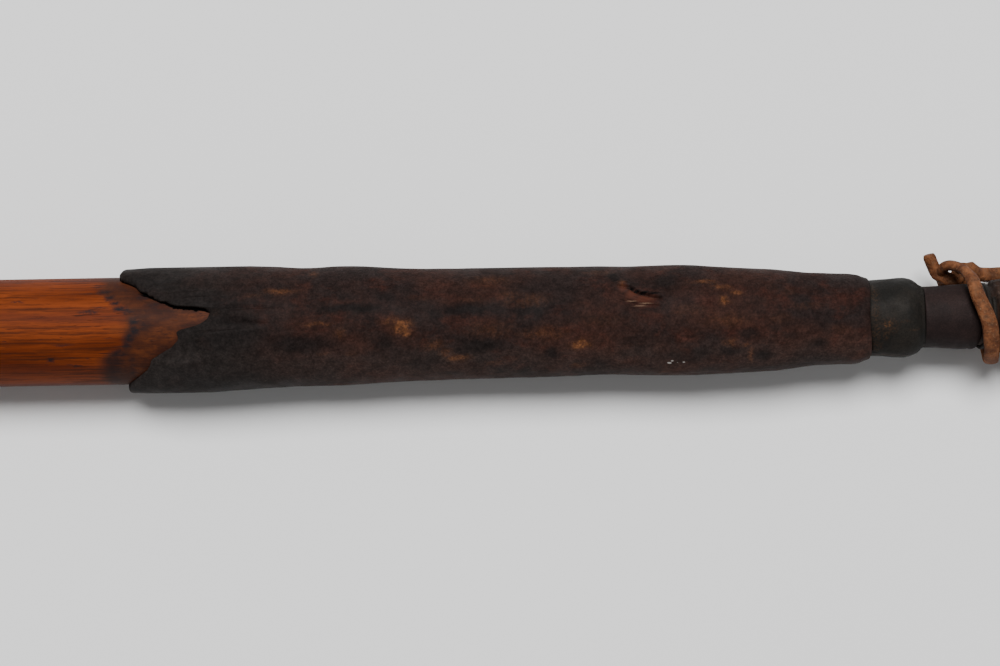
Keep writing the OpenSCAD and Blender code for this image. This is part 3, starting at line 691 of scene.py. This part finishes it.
def make_grip(material):
    # Closer together where the notch's far side is torn.
    angles = [d for d in (360 * k / AROUND - 180 for k in range(AROUND)) if not TORN[0] < d < TORN[1]]
    angles = sorted([*angles, *np.arange(TORN[0] + 0.25, TORN[1], 0.5)])
    edges, tops, slopes = [], [], []
    for d in angles:
        place = polar(0, WOOD_R, math.radians(d))
        ragged = 0.3 * rough(*place, 1.7 * MM, 5.5) + 0.2 * rough(*place, 0.7 * MM, 2.5)
        ragged *= smooth((62 - abs(d)) / 9) * (0.45 if TORN[0] < d < TORN[1] else 1)
        edges.append(straight([(a, back) for a, back, _ in OPEN_EDGE], d) + ragged)
        tops.append(straight([(a, top) for a, _, top in OPEN_EDGE], d))
    for d in angles:
        low, high = (np.interp(d + turn, angles, edges, period=360) for turn in (-3, 3))
        rise = (high - low) / (math.radians(6) * 10.5)
        slopes.append(max(0.35, 1 / math.sqrt(1 + rise * rise)))
    # Along the notch's far side the edge stands clear of the wood.
    clear = [0.03 + 0.42 * smooth((d - 5) / 4) * (1 - smooth((d - 27) / 12)) for d in angles]
    # The first rings are close together, in mm from the edge, where it rounds over.
    near = [0.0, 0.03, 0.08, 0.16, 0.28, 0.42, 0.6, 0.85, 1.15, 1.5, 2.0]
    total = (X_COLLAR - X_OPEN) / MM
    rings = []
    for i in range(GRIP_RINGS + 1):
        ring = []
        for k, d in enumerate(angles):
            s = edges[k] + near[min(i, len(near) - 1)] / slopes[k]
            if i >= len(near):
                s += (total - set_back(d) - s) * (i - len(near) + 1) / (GRIP_RINGS - len(near) + 1)
            inward = (s - edges[k]) * slopes[k]
            body = grip_radius(s, d)
            top = tops[k] + (body - tops[k]) * smooth((inward - 0.4) / 5.5)
            lip = 0.62 * (tops[k] - WOOD_MM - clear[k])
            t = min(1.0, inward / (0.3 + 0.6 * lip))
            top -= lip * (1 - math.sqrt(1 - (1 - t) ** 2))
            ring.append(polar(X_OPEN + s * MM, top * MM, math.radians(d)))
        rings.append(ring)
    # Over the end under the collar, and back along the inside.
    for radius, back in ((7.2, 0.15), (6.3, 0.4), (5.6, 0.4)):
        rings.append([polar(X_COLLAR + (back - set_back(d)) * MM, radius * MM, math.radians(d))
                      for d in angles])
    for radius, s in ((5.6, 136), (7.8, 128), (8.9, 112), (9.2, 60), (10.02, 22)):
        rings.append([polar(X_OPEN + s * MM, radius * MM, math.radians(d)) for d in angles])
    for inside in (3.0, 0.9, 0.0):
        rings.append([polar(X_OPEN + (edges[k] + inside) * MM,
                            (WOOD_MM + 0.02 + (clear[k] - 0.02) * (1 - smooth(inside / 3.0))) * MM,
                            math.radians(d)) for k, d in enumerate(angles)])
    piece = skin_of("grip", rings)
    finish_piece(piece, material, "handle")
    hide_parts("grip_sleeve")


# --- Collar, neck and pommel ------------------------------------------------------------------------

def lathe(name, profile, shape, back=lambda x, degrees: 0, around=144, closed=True):
    """A turned piece: profile is (x, radius) in mm, going out along its outside and, if closed, back
    along its inside. shape(x, radius, degrees) gives the radius at each place, and back(x, degrees)
    how far it is set back."""
    rings = []
    for x, radius in profile:
        ring = []
        for k in range(around):
            degrees = 360 * k / around - 180
            ring.append(polar((x - back(x, degrees)) * MM, shape(x, radius, degrees) * MM,
                              math.radians(degrees)))
        rings.append(ring)
    return skin_of(name, rings, closed)


# Where the collar is worn: mm from the grip's open edge, degrees, half sizes in mm, strength.
COLLAR_WORN = [(140.4, -22, 0.8, 1.0, 0.85), (140.6, -24, 1.6, 2.4, 0.3), (140.1, -36, 0.7, 2.0, 0.35),
               (138.3, 24, 0.9, 3.4, 0.28), (138.2, -4, 0.9, 3.4, 0.3), (138.3, -34, 0.9, 3.4, 0.3),
               (138.6, -62, 1.1, 3.0, 0.35), (141.5, -84, 3.6, 0.9, 0.35), (143.4, -18, 1.2, 0.5, 0.2),
               (145.2, -30, 1.4, 0.4, 0.2)]


def make_collar(material):
    start, stop = X_COLLAR / MM, X_NECK / MM
    length = stop - start
    outline = [(0, 5.9), (0, 6.7), (0.12, 6.95), (0.4, 7.1), (1, 7.12), (2, 7.13), (3, 7.18), (4, 7.28),
               (5, 7.39), (6, 7.46), (7, 7.45), (7.8, 7.27), (8.5, 6.95), (9.1, 6.5), (9.6, 6.05),
               (length, 5.75)]
    fine = []
    for (a, ra), (b, rb) in zip(outline, outline[1:]):
        parts = max(1, round((b - a) / 0.3))
        fine += [(start + a + (b - a) * i / parts, ra + (rb - ra) * i / parts) for i in range(parts)]
    fine += [(stop, 5.72), (stop - 0.4, 5.64), (start + 3, 5.6), (start, 5.6)]

    def shape(x, radius, degrees):
        if radius < 5.7:
            return radius
        place = polar(x * MM, 7 * MM, math.radians(degrees))
        out = radius + 0.09 * rough(*place, 3.5 * MM, 2.2) + 0.05 * rough(*place, 1.2 * MM, 4.2)
        past = degrees + 74 + 8 * smooth((x - start - 6) / 3)
        inside = smooth((x - start) / 1.5) * smooth((stop - x) / 1.2)
        out += inside * (0.4 * smooth(past / 3) * (1 - smooth(past / 60)) if past > 0 else 0)
        out -= inside * 0.45 * hump(past / 3)
        return out

    piece = lathe("collar_ring", fine, shape,
                  lambda x, degrees: set_back(degrees) * (1 - 0.35 * (x - start) / length), 240)
    finish_piece(piece, material, "handle")
    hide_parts("collar")


def make_neck(material):
    start, stop = X_NECK / MM - 0.6, X_GROOVE / MM
    fine = [(start, 4.6), (start, 5.62)]
    steps = 30
    for i in range(steps + 1):
        t = i / steps
        fine.append((start + 0.3 + (stop - start - 1.2) * t, 5.7 + 0.4 * smooth(t)))
    fine += [(stop - 0.6, 6.08), (stop - 0.3, 5.95), (stop - 0.08, 5.7), (stop, 5.3), (stop, 4.5)]

    def shape(x, radius, degrees):
        if radius < 5.5:
            return radius
        place = polar(x * MM, 6 * MM, math.radians(degrees))
        return (radius + 0.06 * rough(*place, 2.8 * MM, 6.1) + 0.025 * rough(*place, 0.9 * MM, 3.3)
                - 0.14 * hump((x - stop + 1.5) / 0.35))

    piece = lathe("neck", fine, shape)
    finish_piece(piece, material, "handle")
    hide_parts("neck_cover")


POMMEL_MAX = 11.6
GATHERS = 17


def make_pommel(material):
    start, stop = X_GROOVE / MM, X_BUTT / MM
    neck_r, skirt = 5.4, 6.6
    knob = X_GROOVE / MM + 3.0
    fine = [(start, 4.5), (start, neck_r - 0.3), (start + 0.3, neck_r), (knob - 0.5, neck_r),
            (knob - 0.2, neck_r + 0.3), (knob, 6.0), (knob + 0.2, skirt - 0.1)]
    dome = 10.0
    steps = 46
    for i in range(steps + 1):
        s = 0.5 + (stop - dome - knob - 0.5) * i / steps
        t = smooth((s - 4.5) / (stop - dome - knob - 4.5))
        low = skirt + 0.4 * min(1, s / 4.5)
        fine.append((knob + s, low + (POMMEL_MAX - low) * t))
    for i in range(1, 40):
        a = math.radians(90 * i / 40)
        fine.append((stop - dome + dome * math.sin(a), max(0.05, POMMEL_MAX * math.cos(a))))

    def shape(x, radius, degrees):
        if x < knob + 0.1:
            return radius
        angle = math.radians(degrees)
        place = polar(x * MM, 8 * MM, angle)
        fold = math.cos(GATHERS * angle + 1.4 * rough(*place, 7 * MM, 8.8))
        gather = 0.34 * (1 - smooth((x - knob - 2) / 12)) * smooth((x - knob) / 0.7)
        swirl = 0.15 * smooth((x - stop + 7) / 4) * (1 - smooth((x - stop + 1.6) / 1.5))
        out = radius + gather * (fold - 0.6) + swirl * (math.cos(9 * angle + 0.5 * x) - 0.4)
        out += 0.12 * rough(*place, 5 * MM, 1.1) * min(1, radius / 5)
        return min(out, CLEAR_OF_TABLE)

    piece = lathe("pommel", fine, shape, around=204, closed=False)
    finish_piece(piece, material, "handle")
    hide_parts("pommel_cap")


def make_whipping(name, node, material, thread_mm, seat_mm, twist):
    """A helix of thread in place of a plain whipping node."""
    low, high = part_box(node)
    turns = round((high.x - low.x) / MM / thread_mm)
    radius = (seat_mm + thread_mm / 2) * MM
    path = []
    per_turn = 60
    pitch = (high.x - low.x - thread_mm * MM) / (turns - 1)
    for i in range((turns - 1) * per_turn + 1):
        a = 2 * math.pi * i / per_turn
        path.append(polar(low.x + thread_mm * MM / 2 + pitch * i / per_turn, radius, a + twist))
    rings = tube_rings(path, 12, thread_mm * MM * 1.04, thread_mm * MM,
                       lambda i: Vector((0, path[i].y, path[i].z - AXIS_Z)))
    piece = skin_of(name, rings, closed=False)
    finish_piece(piece, material, "handle")
    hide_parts(node)


# --- Flap -----------------------------------------------------------------------------------------

# The flap as in the CAD model, in mm: u is measured from the flex line towards the far edge.
FLAP_T, FLAP_W, TONGUE_W = 3.0, 88.0, 13.0
FLAP_LEN = (FLEX.x - X_FAR) / MM
LEVEL_LEN, DROOP_RUN = 4.0, 52.0
DROOP = AXIS_Z / MM - FLAP_T / 2
DROOP_R = DROOP_RUN / 2 / math.sin(2 * math.atan(DROOP / DROOP_RUN))
TONGUE_END = (FLEX.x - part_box("flap_tongue")[1].x) / MM
RIVET_U = [(FLEX.x - X_TIP) / MM - along for along in (9, 24)]
RIVET_R, HEAD_R, SEAT = 1.6, 3.2, 6.3
HOLES = [(58 + 12 * row, column * 13.0)
         for row in range(6)
         for column in ((-2, -1, 0, 1, 2), (-2.5, -1.5, -0.5, 0.5, 1.5, 2.5))[row % 2]]
HOLE_R = 2.75
HOLE_SIDES = 32
PATCH_START, PATCH_WIDE, PATCH_END, PATCH_T = 4.0, 22.0, 34.0, 1.6


def arc(cx, cy, radius, first, last, count):
    return [(cx + radius * math.cos(math.radians(first + (last - first) * i / count)),
             cy + radius * math.sin(math.radians(first + (last - first) * i / count)))
            for i in range(count + 1)]


def worn_edge(u, v):
    """A place on the flap's outline, moved a little as by wear, and not at all near the hinge."""
    share = smooth((u - 4) / 10)
    return (u + 0.25 * rough(u * MM, v * MM, 0, 16 * MM, 2.7) * share,
            v + 0.3 * rough(u * MM, v * MM, 0, 13 * MM, 5.1) * share)


def flap_outline():
    waist = (6.0, TONGUE_W / 2 + 26)
    turn = math.radians(80)
    shoulder = (waist[0] + 40 * math.sin(turn), waist[1] - 40 * math.cos(turn))
    corner = (FLAP_LEN - 14, FLAP_W / 2 - 14)
    tilt = 90 + math.degrees(math.atan(4.4 / (corner[0] - shoulder[0])))
    side = [(TONGUE_END, TONGUE_W / 2), (0, TONGUE_W / 2)]
    side += arc(*waist, 26, 270, 350, 26) + arc(*shoulder, 14, 170, tilt, 18)
    side += [(shoulder[0] + (corner[0] - shoulder[0]) * t,
              shoulder[1] + 14 + (corner[1] - shoulder[1]) * t) for t in (0.2, 0.4, 0.6, 0.8)]
    side += arc(*corner, 14, tilt, 0, 22)
    return [worn_edge(u, v) for u, v in side + [(u, -v) for u, v in reversed(side)]]


def patch_outline():
    side = []
    for i in range(19):
        u = PATCH_START + (PATCH_WIDE - PATCH_START) * i / 18
        side.append((u, patch_half(u)))
    side += [(PATCH_WIDE + (PATCH_END - PATCH_WIDE) * math.cos(math.radians(a)),
              9.5 * math.sin(math.radians(a))) for a in range(85, -1, -5)]
    return side + [(u, -v) for u, v in reversed(side[:-1])]


def patch_half(u):
    """Half the patch's width at u."""
    if u <= PATCH_WIDE:
        return 5.2 + 4.3 * smooth((u - PATCH_START) / (PATCH_WIDE - PATCH_START))
    return 9.5 * math.sqrt(max(0.0, 1 - ((u - PATCH_WIDE) / (PATCH_END - PATCH_WIDE)) ** 2))


def drop(u):
    """How far the flap's middle is below the stick's axis, and its slope in radians, at u."""
    v = u - LEVEL_LEN
    if v <= 0:
        return 0.0, 0.0
    if v < DROOP_RUN / 2:
        return DROOP_R - math.sqrt(DROOP_R ** 2 - v * v), math.asin(v / DROOP_R)
    if v < DROOP_RUN:
        left = DROOP_RUN - v
        return DROOP - DROOP_R + math.sqrt(DROOP_R ** 2 - left * left), math.asin(left / DROOP_R)
    return DROOP, 0.0


def on_flap(u, v, w):
    """The place at u along the flap, v across it and w above its middle, as it lies."""
    down, slope = drop(u)
    curl = 1.7 * smooth((u - 92) / 38) * smooth((abs(v) - 16) / 28)
    wave = 0.5 * (1 + rough(u * MM, v * MM, 0, 34 * MM, 9.2)) * smooth((u - 54) / 12)
    thin = 1 + 0.02 * rough(u * MM, v * MM, 0, 7 * MM, 3.3)
    return Vector((FLEX.x - (u + w * math.sin(slope)) * MM, v * MM,
                   AXIS_Z + (curl + wave - down + thin * w * math.cos(slope)) * MM))


def cut_sheet(name, outline, holes, low, high, bevel, lines_u, lines_v):
    """Leather cut to an outline in the flap's u and v, with round holes of (u, v, radius), and laid
    along it between two heights. lines_u and lines_v are where it can bend."""
    data = bpy.data.curves.new(name, "CURVE")
    data.dimensions = "2D"
    data.fill_mode = "BOTH"
    data.extrude = (high - low) / 2 - bevel
    data.bevel_depth = bevel
    data.bevel_resolution = 2
    data.offset = -bevel
    rounds = [2 * math.pi * k / HOLE_SIDES for k in range(HOLE_SIDES)]
    loops = [[(u + r * math.cos(a), v + r * math.sin(a)) for a in rounds] for u, v, r in holes]
    for loop in [outline, *loops]:
        spline = data.splines.new("POLY")
        spline.points.add(len(loop) - 1)
        for point, (u, v) in zip(spline.points, loop):
            point.co = (u, v, 0, 1)
        spline.use_cyclic_u = True
    drawn = add_object(name, data)
    bpy.context.view_layer.update()
    mesh = bpy.data.meshes.new_from_object(drawn.evaluated_get(bpy.context.evaluated_depsgraph_get()))
    bpy.data.objects.remove(drawn)
    work = bmesh.new()
    work.from_mesh(mesh)
    bmesh.ops.remove_doubles(work, verts=work.verts, dist=1e-4)
    for lines, normal in ((lines_u, Vector((1, 0, 0))), (lines_v, Vector((0, 1, 0)))):
        for line in lines:
            bmesh.ops.bisect_plane(work, geom=[*work.verts, *work.edges, *work.faces], dist=1e-4,
                                   plane_co=normal * line, plane_no=normal)
    middle = (low + high) / 2
    for vert in work.verts:
        vert.co = on_flap(vert.co.x, vert.co.y, vert.co.z + middle)
    bmesh.ops.recalc_face_normals(work, faces=work.faces)
    work.to_mesh(mesh)
    work.free()
    mesh.name = name
    return add_object(name, mesh)


def make_flap(material, patch_material, thread_material):
    outline = flap_outline()
    holes = [(u, v, HOLE_R) for u, v in HOLES] + [(u, 0, RIVET_R + 0.05) for u in RIVET_U]
    bends = [TONGUE_END + 2 * i for i in range(1, 200) if TONGUE_END + 2 * i < 58]
    bends += [-3 + 0.7 * i for i in range(10)] + [60 + 4 * i for i in range(18)]
    flap = cut_sheet("flap", outline, holes, -FLAP_T / 2, FLAP_T / 2, 0.55, bends,
                     [4.0 * i for i in range(-10, 11)])
    finish_piece(flap, material, None, 38)
    area = abs(sum(a[0] * b[1] - b[0] * a[1] for a, b in zip(outline, outline[1:] + outline[:1]))) / 2
    area -= sum(math.pi * r * r for _, _, r in holes)
    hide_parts("flap_blade", "flap_tongue")
    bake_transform(flap)
    patch = patch_outline()
    for side, node in ((1, "stiffener_top"), (-1, "stiffener_bottom")):
        ends = sorted((side * FLAP_T / 2, side * (FLAP_T / 2 + PATCH_T)))
        piece = cut_sheet("patch_" + node.split("_")[1], patch, [], *ends, 0.4,
                          [5 + 1.5 * i for i in range(20)], [3.0 * i for i in range(-3, 4)])
        finish_piece(piece, patch_material, "flap", 38)
        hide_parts(node)
    make_stitches(thread_material)


def make_stitches(material):
    """Saddle stitches round both patches, each a short thread whose ends go down into the leather."""
    seats = [(5.5 + 3.2 * i, side) for i in range(8) for side in (-1, 1)]
    rings_all = []
    for face in (1, -1):
        for u, side in seats:
            v = side * (patch_half(u) - 2)
            turn = side * (patch_half(u + 1) - patch_half(u - 1)) / 2
            rings_all.append(stitch(u, v, 1, turn, face))
        rings_all.append(stitch(PATCH_END - 2, 0, 0, 1, face))
    points, faces = [], []
    for rings in rings_all:
        count = len(rings[0])
        base = len(points)
        points += [p for ring in rings for p in ring]
        faces += walls(rings, base=base)
        faces.append(tuple(base + k for k in range(count)))
        faces.append(tuple(base + (len(rings) - 1) * count + k for k in reversed(range(count))))
    piece = mesh_piece("patch_thread", points, faces)
    finish_piece(piece, material, "flap")
    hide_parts("stiffener_stitches")


def stitch(u, v, along_u, along_v, face):
    size = math.hypot(along_u, along_v)
    along_u, along_v = along_u / size, along_v / size
    path = []
    for i in range(11):
        t = (i - 5) / 5
        reach = 1.25 * t
        height = FLAP_T / 2 + PATCH_T + 0.16 - 0.62 * smooth((abs(t) - 0.45) / 0.55)
        path.append(on_flap(u + reach * along_u, v + reach * along_v, face * height))
    return tube_rings(path, 10, 0.72 * MM, 0.62 * MM, lambda i: Vector((0, 0, face)))


def make_rivets(material):
    """Two copper rivets: a hammered dome on top, and a washer and a spread end underneath."""
    dome = [(RIVET_R, -8.0), (RIVET_R, SEAT - 0.02), (HEAD_R - 0.25, SEAT), (HEAD_R, SEAT + 0.12),
            (HEAD_R, SEAT + 0.3)]
    dome += [(HEAD_R * math.cos(math.radians(a)), SEAT + 0.3 + 1.15 * math.sin(math.radians(a)))
             for a in range(8, 90, 8)] + [(0.05, SEAT + 1.45)]
    end = [(RIVET_R, -SEAT - 0.85), (RIVET_R + 0.5, -SEAT - 0.92), (RIVET_R + 0.55, -SEAT - 1.1),
           (RIVET_R + 0.2, -SEAT - 1.3), (RIVET_R - 0.6, -SEAT - 1.42), (0.05, -SEAT - 1.45)]
    burr = [(RIVET_R, -SEAT), (HEAD_R - 0.3, -SEAT), (HEAD_R - 0.15, -SEAT - 0.15),
            (HEAD_R - 0.2, -SEAT - 0.75), (HEAD_R - 0.45, -SEAT - 0.9), (RIVET_R, -SEAT - 0.9)]
    for number, u in enumerate(RIVET_U, 1):
        x = FLEX.x - u * MM

        def turned(name, profile, closed):
            rings = []
            for radius, z in profile:
                ring = []
                for k in range(40):
                    a = 2 * math.pi * k / 40
                    px, py = radius * math.cos(a), radius * math.sin(a)
                    dent = 0.09 * rough(x + px * MM, py * MM, z * MM, 1.5 * MM, 4.0 + number)
                    top = z + (dent if abs(z) > SEAT + 0.2 else 0)
                    ring.append(Vector((x + px * MM, py * MM, AXIS_Z + top * MM)))
                rings.append(ring)
            return skin_of(name, rings, closed)

        rivet = turned(f"rivet_{number}", end[::-1] + dome[1:], False)
        washer = turned(f"washer_{number}", burr, True)
        finish_piece(rivet, material, "handle", 50)
        finish_piece(washer, material, "handle", 50)
        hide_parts("rivets")
        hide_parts("rivet_burrs")


# --- Thong ------------------------------------------------------------------------------------------

LACE_W, LACE_T = 2.8 * MM, 1.95 * MM
LACE_SIDES = 20

# The noose: from inside the knot, up beside the neck, over it, under it and back into the knot.
# Each is x in mm, then y and z in mm from the stick's axis, then the way that its flat side looks.
NOOSE_ROUTE = [
    (259.2, 2.4, -7.7, 0, 0.3, -1), (257.6, 4.9, -7.7, 0, 0.5, -0.9), (256.1, 7.2, -6.9, -0.2, 0.7, -0.7),
    (254.9, 8.8, -5.2, -0.7, 0.7, -0.2), (254.2, 9.6, -2.8, -1, 0.4, 0.2),
    (254.7, 9.9, -0.4, -0.3, 1, 0.3), (256.0, 9.1, 1.7, 0.2, 1, 0.1), (256.9, 7.5, 4.0, 0.5, 0.9, 0),
    (257.2, 5.9, 5.9, 0.5, 0.9, 0.3), (257.3, 3.8, 7.35, 0.5, 0.7, 0.7), (257.6, 1.8, 8.0, 0.4, 0.4, 1),
    (258.2, 0, 8.2, 0.2, 0.1, 1), (258.8, -1.6, 8.05, 0.1, -0.2, 1), (259.4, -3.4, 7.5, 0, -0.4, 0.9),
    (259.8, -5.1, 6.45, 0, -0.6, 0.8), (260.2, -6.55, 4.9, 0, -0.8, 0.6),
    (260.8, -7.6, 2.4, 0, -1, 0.3), (261.5, -7.9, -0.5, 0, -1, 0), (262.3, -7.4, -3.7, 0, -0.9, -0.5),
    (262.9, -5.3, -6.6, 0, -0.6, -0.8), (262.8, -2.4, -8.1, 0, -0.2, -1), (261.6, 1.0, -8.3, 0, 0.2, -1),
    (260.1, 4.2, -7.8, 0, 0.6, -0.8), (259.0, 6.9, -6.5, 0, 0.8, -0.6), (258.4, 8.8, -4.5, 0.2, 1, -0.3),
    (258.3, 9.8, -2.6, 0.1, 1, 0)]
# The wrist loop's end: behind the noose, round it on the neck's side, and out to the cut end.
TAIL_ROUTE = [
    (258.2, 10.1, -1.85, 0, 0.3, 1), (257.9, 9.7, -3.3, 0.3, 1, 0.7), (257.1, 8.3, -3.8, 0.3, 0.3, 1),
    (255.8, 7.9, -3.4, -0.1, 0, 1), (254.5, 8.5, -3.2, -0.5, -0.2, 1), (253.4, 9.1, -3.4, -0.9, 0.2, 0.6),
    (252.75, 10.4, -3.2, -0.8, -0.2, 0.6), (252.1, 11.7, -2.6, -0.7, -0.2, 0.7),
    (251.75, 12.6, -2.2, -0.7, -0.2, 0.7)]
# The wrist loop, from the knot round the pommel's end and back under the neck: x, y and z in mm, with z
# from the table. Its middle stretch lies on the table.
LYING_Z = 1.6
LYING_ROUTE = [
    (279, 12.2), (286, 14.2), (294, 17), (303, 20), (312, 22.6), (321, 24.6), (330, 25.8), (339, 26),
    (348, 25), (356, 22.4), (363, 18), (368, 12), (370.6, 5), (371, -2.4), (369.4, -10), (365.6, -17),
    (360, -22.6), (353, -26.6), (344.6, -28.8), (335.6, -29.4), (326.4, -28.6), (317.4, -26.8),
    (308.6, -24.4), (300, -21.6), (292, -18.6), (285, -15.4), (278, -11.6)]
LOOP_ROUTE = [
    (258.2, 10.1, 9.9), (259.6, 9.9, 8.9), (261.3, 9.3, 7.2), (264, 9.5, 5.2), (268, 10.1, 3.3),
    (273, 10.9, 2), *((x, y, LYING_Z) for x, y in LYING_ROUTE), (272, -7.4, 1.7), (267.5, -3, 2.1),
    (264, 1.5, 2.8), (260.6, 5.0, 3.9), (257.8, 6.8, 4.9)]


def lace_skin(name, route, sizes=((0, LACE_W, LACE_T),)):
    """A lace along a route whose points carry the way that its flat side looks. sizes gives its width
    and thickness at shares of its length."""
    line = curve_through(route, 0.3)
    path = [Vector((p[0] * MM, p[1] * MM, p[2] * MM + AXIS_Z)) for p in line]
    rings = tube_rings(path, LACE_SIDES, LACE_W, LACE_T, lambda i: Vector(line[i][3:6]))
    for i, ring in enumerate(rings):
        share = i / (len(rings) - 1)
        wide, thick = (straight([(size[0], size[k]) for size in sizes], share) for k in (1, 2))
        out = Vector(line[i][3:6]).normalized()
        for k, point in enumerate(ring):
            away = point - path[i]
            high = out * away.dot(out)
            ring[k] = path[i] + (away - high) * (wide / LACE_W) + high * (thick / LACE_T)
    return skin_of(name, rings, closed=False)


def make_knot(material):
    noose = lace_skin("noose", NOOSE_ROUTE)
    tail = lace_skin("thong_end", TAIL_ROUTE, [(0, 1.6 * MM, 1.5 * MM), (0.03, 2.5 * MM, 2.2 * MM),
                                               (0.07, 3.1 * MM, 2.7 * MM), (0.17, 2.9 * MM, 2.2 * MM),
                                               (0.5, 2.6 * MM, 2.0 * MM), (0.8, 2.25 * MM, 2.1 * MM),
                                               (0.96, 2.3 * MM, 2.2 * MM), (1, 1.9 * MM, 1.7 * MM)])
    finish_piece(noose, material, "thong")
    finish_piece(tail, material, "thong", 50)
    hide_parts("thong_noose", "thong_knot")
    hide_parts("thong_tail")


def make_wrist_loop(material):
    path = [Vector(p) * MM for p in curve_through(LOOP_ROUTE, 1.2)]
    rings = tube_rings(path, LACE_SIDES, LACE_W, LACE_T, lambda i: Vector((0, 0, 1)))
    # Both ends are rounded off inside the knot.
    for end in (0, -1):
        rings[end] = [path[end] + (point - path[end]) * 0.45 for point in rings[end]]
    piece = skin_of("wrist_lace", rings, closed=False)
    finish_piece(piece, material, None)
    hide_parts("wrist_loop")
    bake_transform(piece)


make_camera()
make_light()
make_table()

LACE = lace_leather()
THREAD_DARK = thread("waxed_thread", (0.0065, 0.0055, 0.0048), (0.017, 0.0135, 0.0110))
STICK = frame["nodes"]["shaft"]
STICK.data.materials.clear()
STICK.data.materials.append(wood())
make_grip(grip_leather())
make_collar(plain_leather("collar_leather", (0.0098, 0.0090, 0.0080), (0.0165, 0.0138, 0.0115), 0.4 * MM,
                          0.03 * MM, 0.6, COLLAR_WORN, (0.080, 0.036, 0.0150)))
make_neck(plain_leather("neck_leather", (0.0140, 0.0092, 0.0088), (0.0205, 0.0125, 0.0115), 0.35 * MM,
                        0.02 * MM, 0.65))
make_pommel(plain_leather("pommel_leather", (0.0140, 0.0094, 0.0082), (0.034, 0.0185, 0.0130), 0.45 * MM,
                          0.04 * MM, 0.6, [(161.7, 26, 0.7, 1.6, 0.7), (162.1, 8, 0.6, 1.2, 0.5),
                                           (163.5, -14, 1.0, 2.0, 0.5)], (0.110, 0.068, 0.050)))
make_whipping("sleeve_thread", "sleeve_whipping", THREAD_DARK, 0.8, 5.6, 2.0)
make_whipping("pommel_thread", "pommel_whipping", THREAD_DARK, 0.8, 5.4, 0.4)
make_whipping("split_thread", "split_whipping", THREAD_DARK, 1.0, 7.5, 1.2)
make_flap(flap_leather(), plain_leather("patch_leather", (0.020, 0.0095, 0.0055), (0.050, 0.022, 0.0105),
                                        0.45 * MM, 0.03 * MM, 0.6),
          thread("stitch_thread", (0.16, 0.105, 0.06), (0.34, 0.25, 0.16)))
make_rivets(copper())
make_knot(LACE)
make_wrist_loop(LACE)
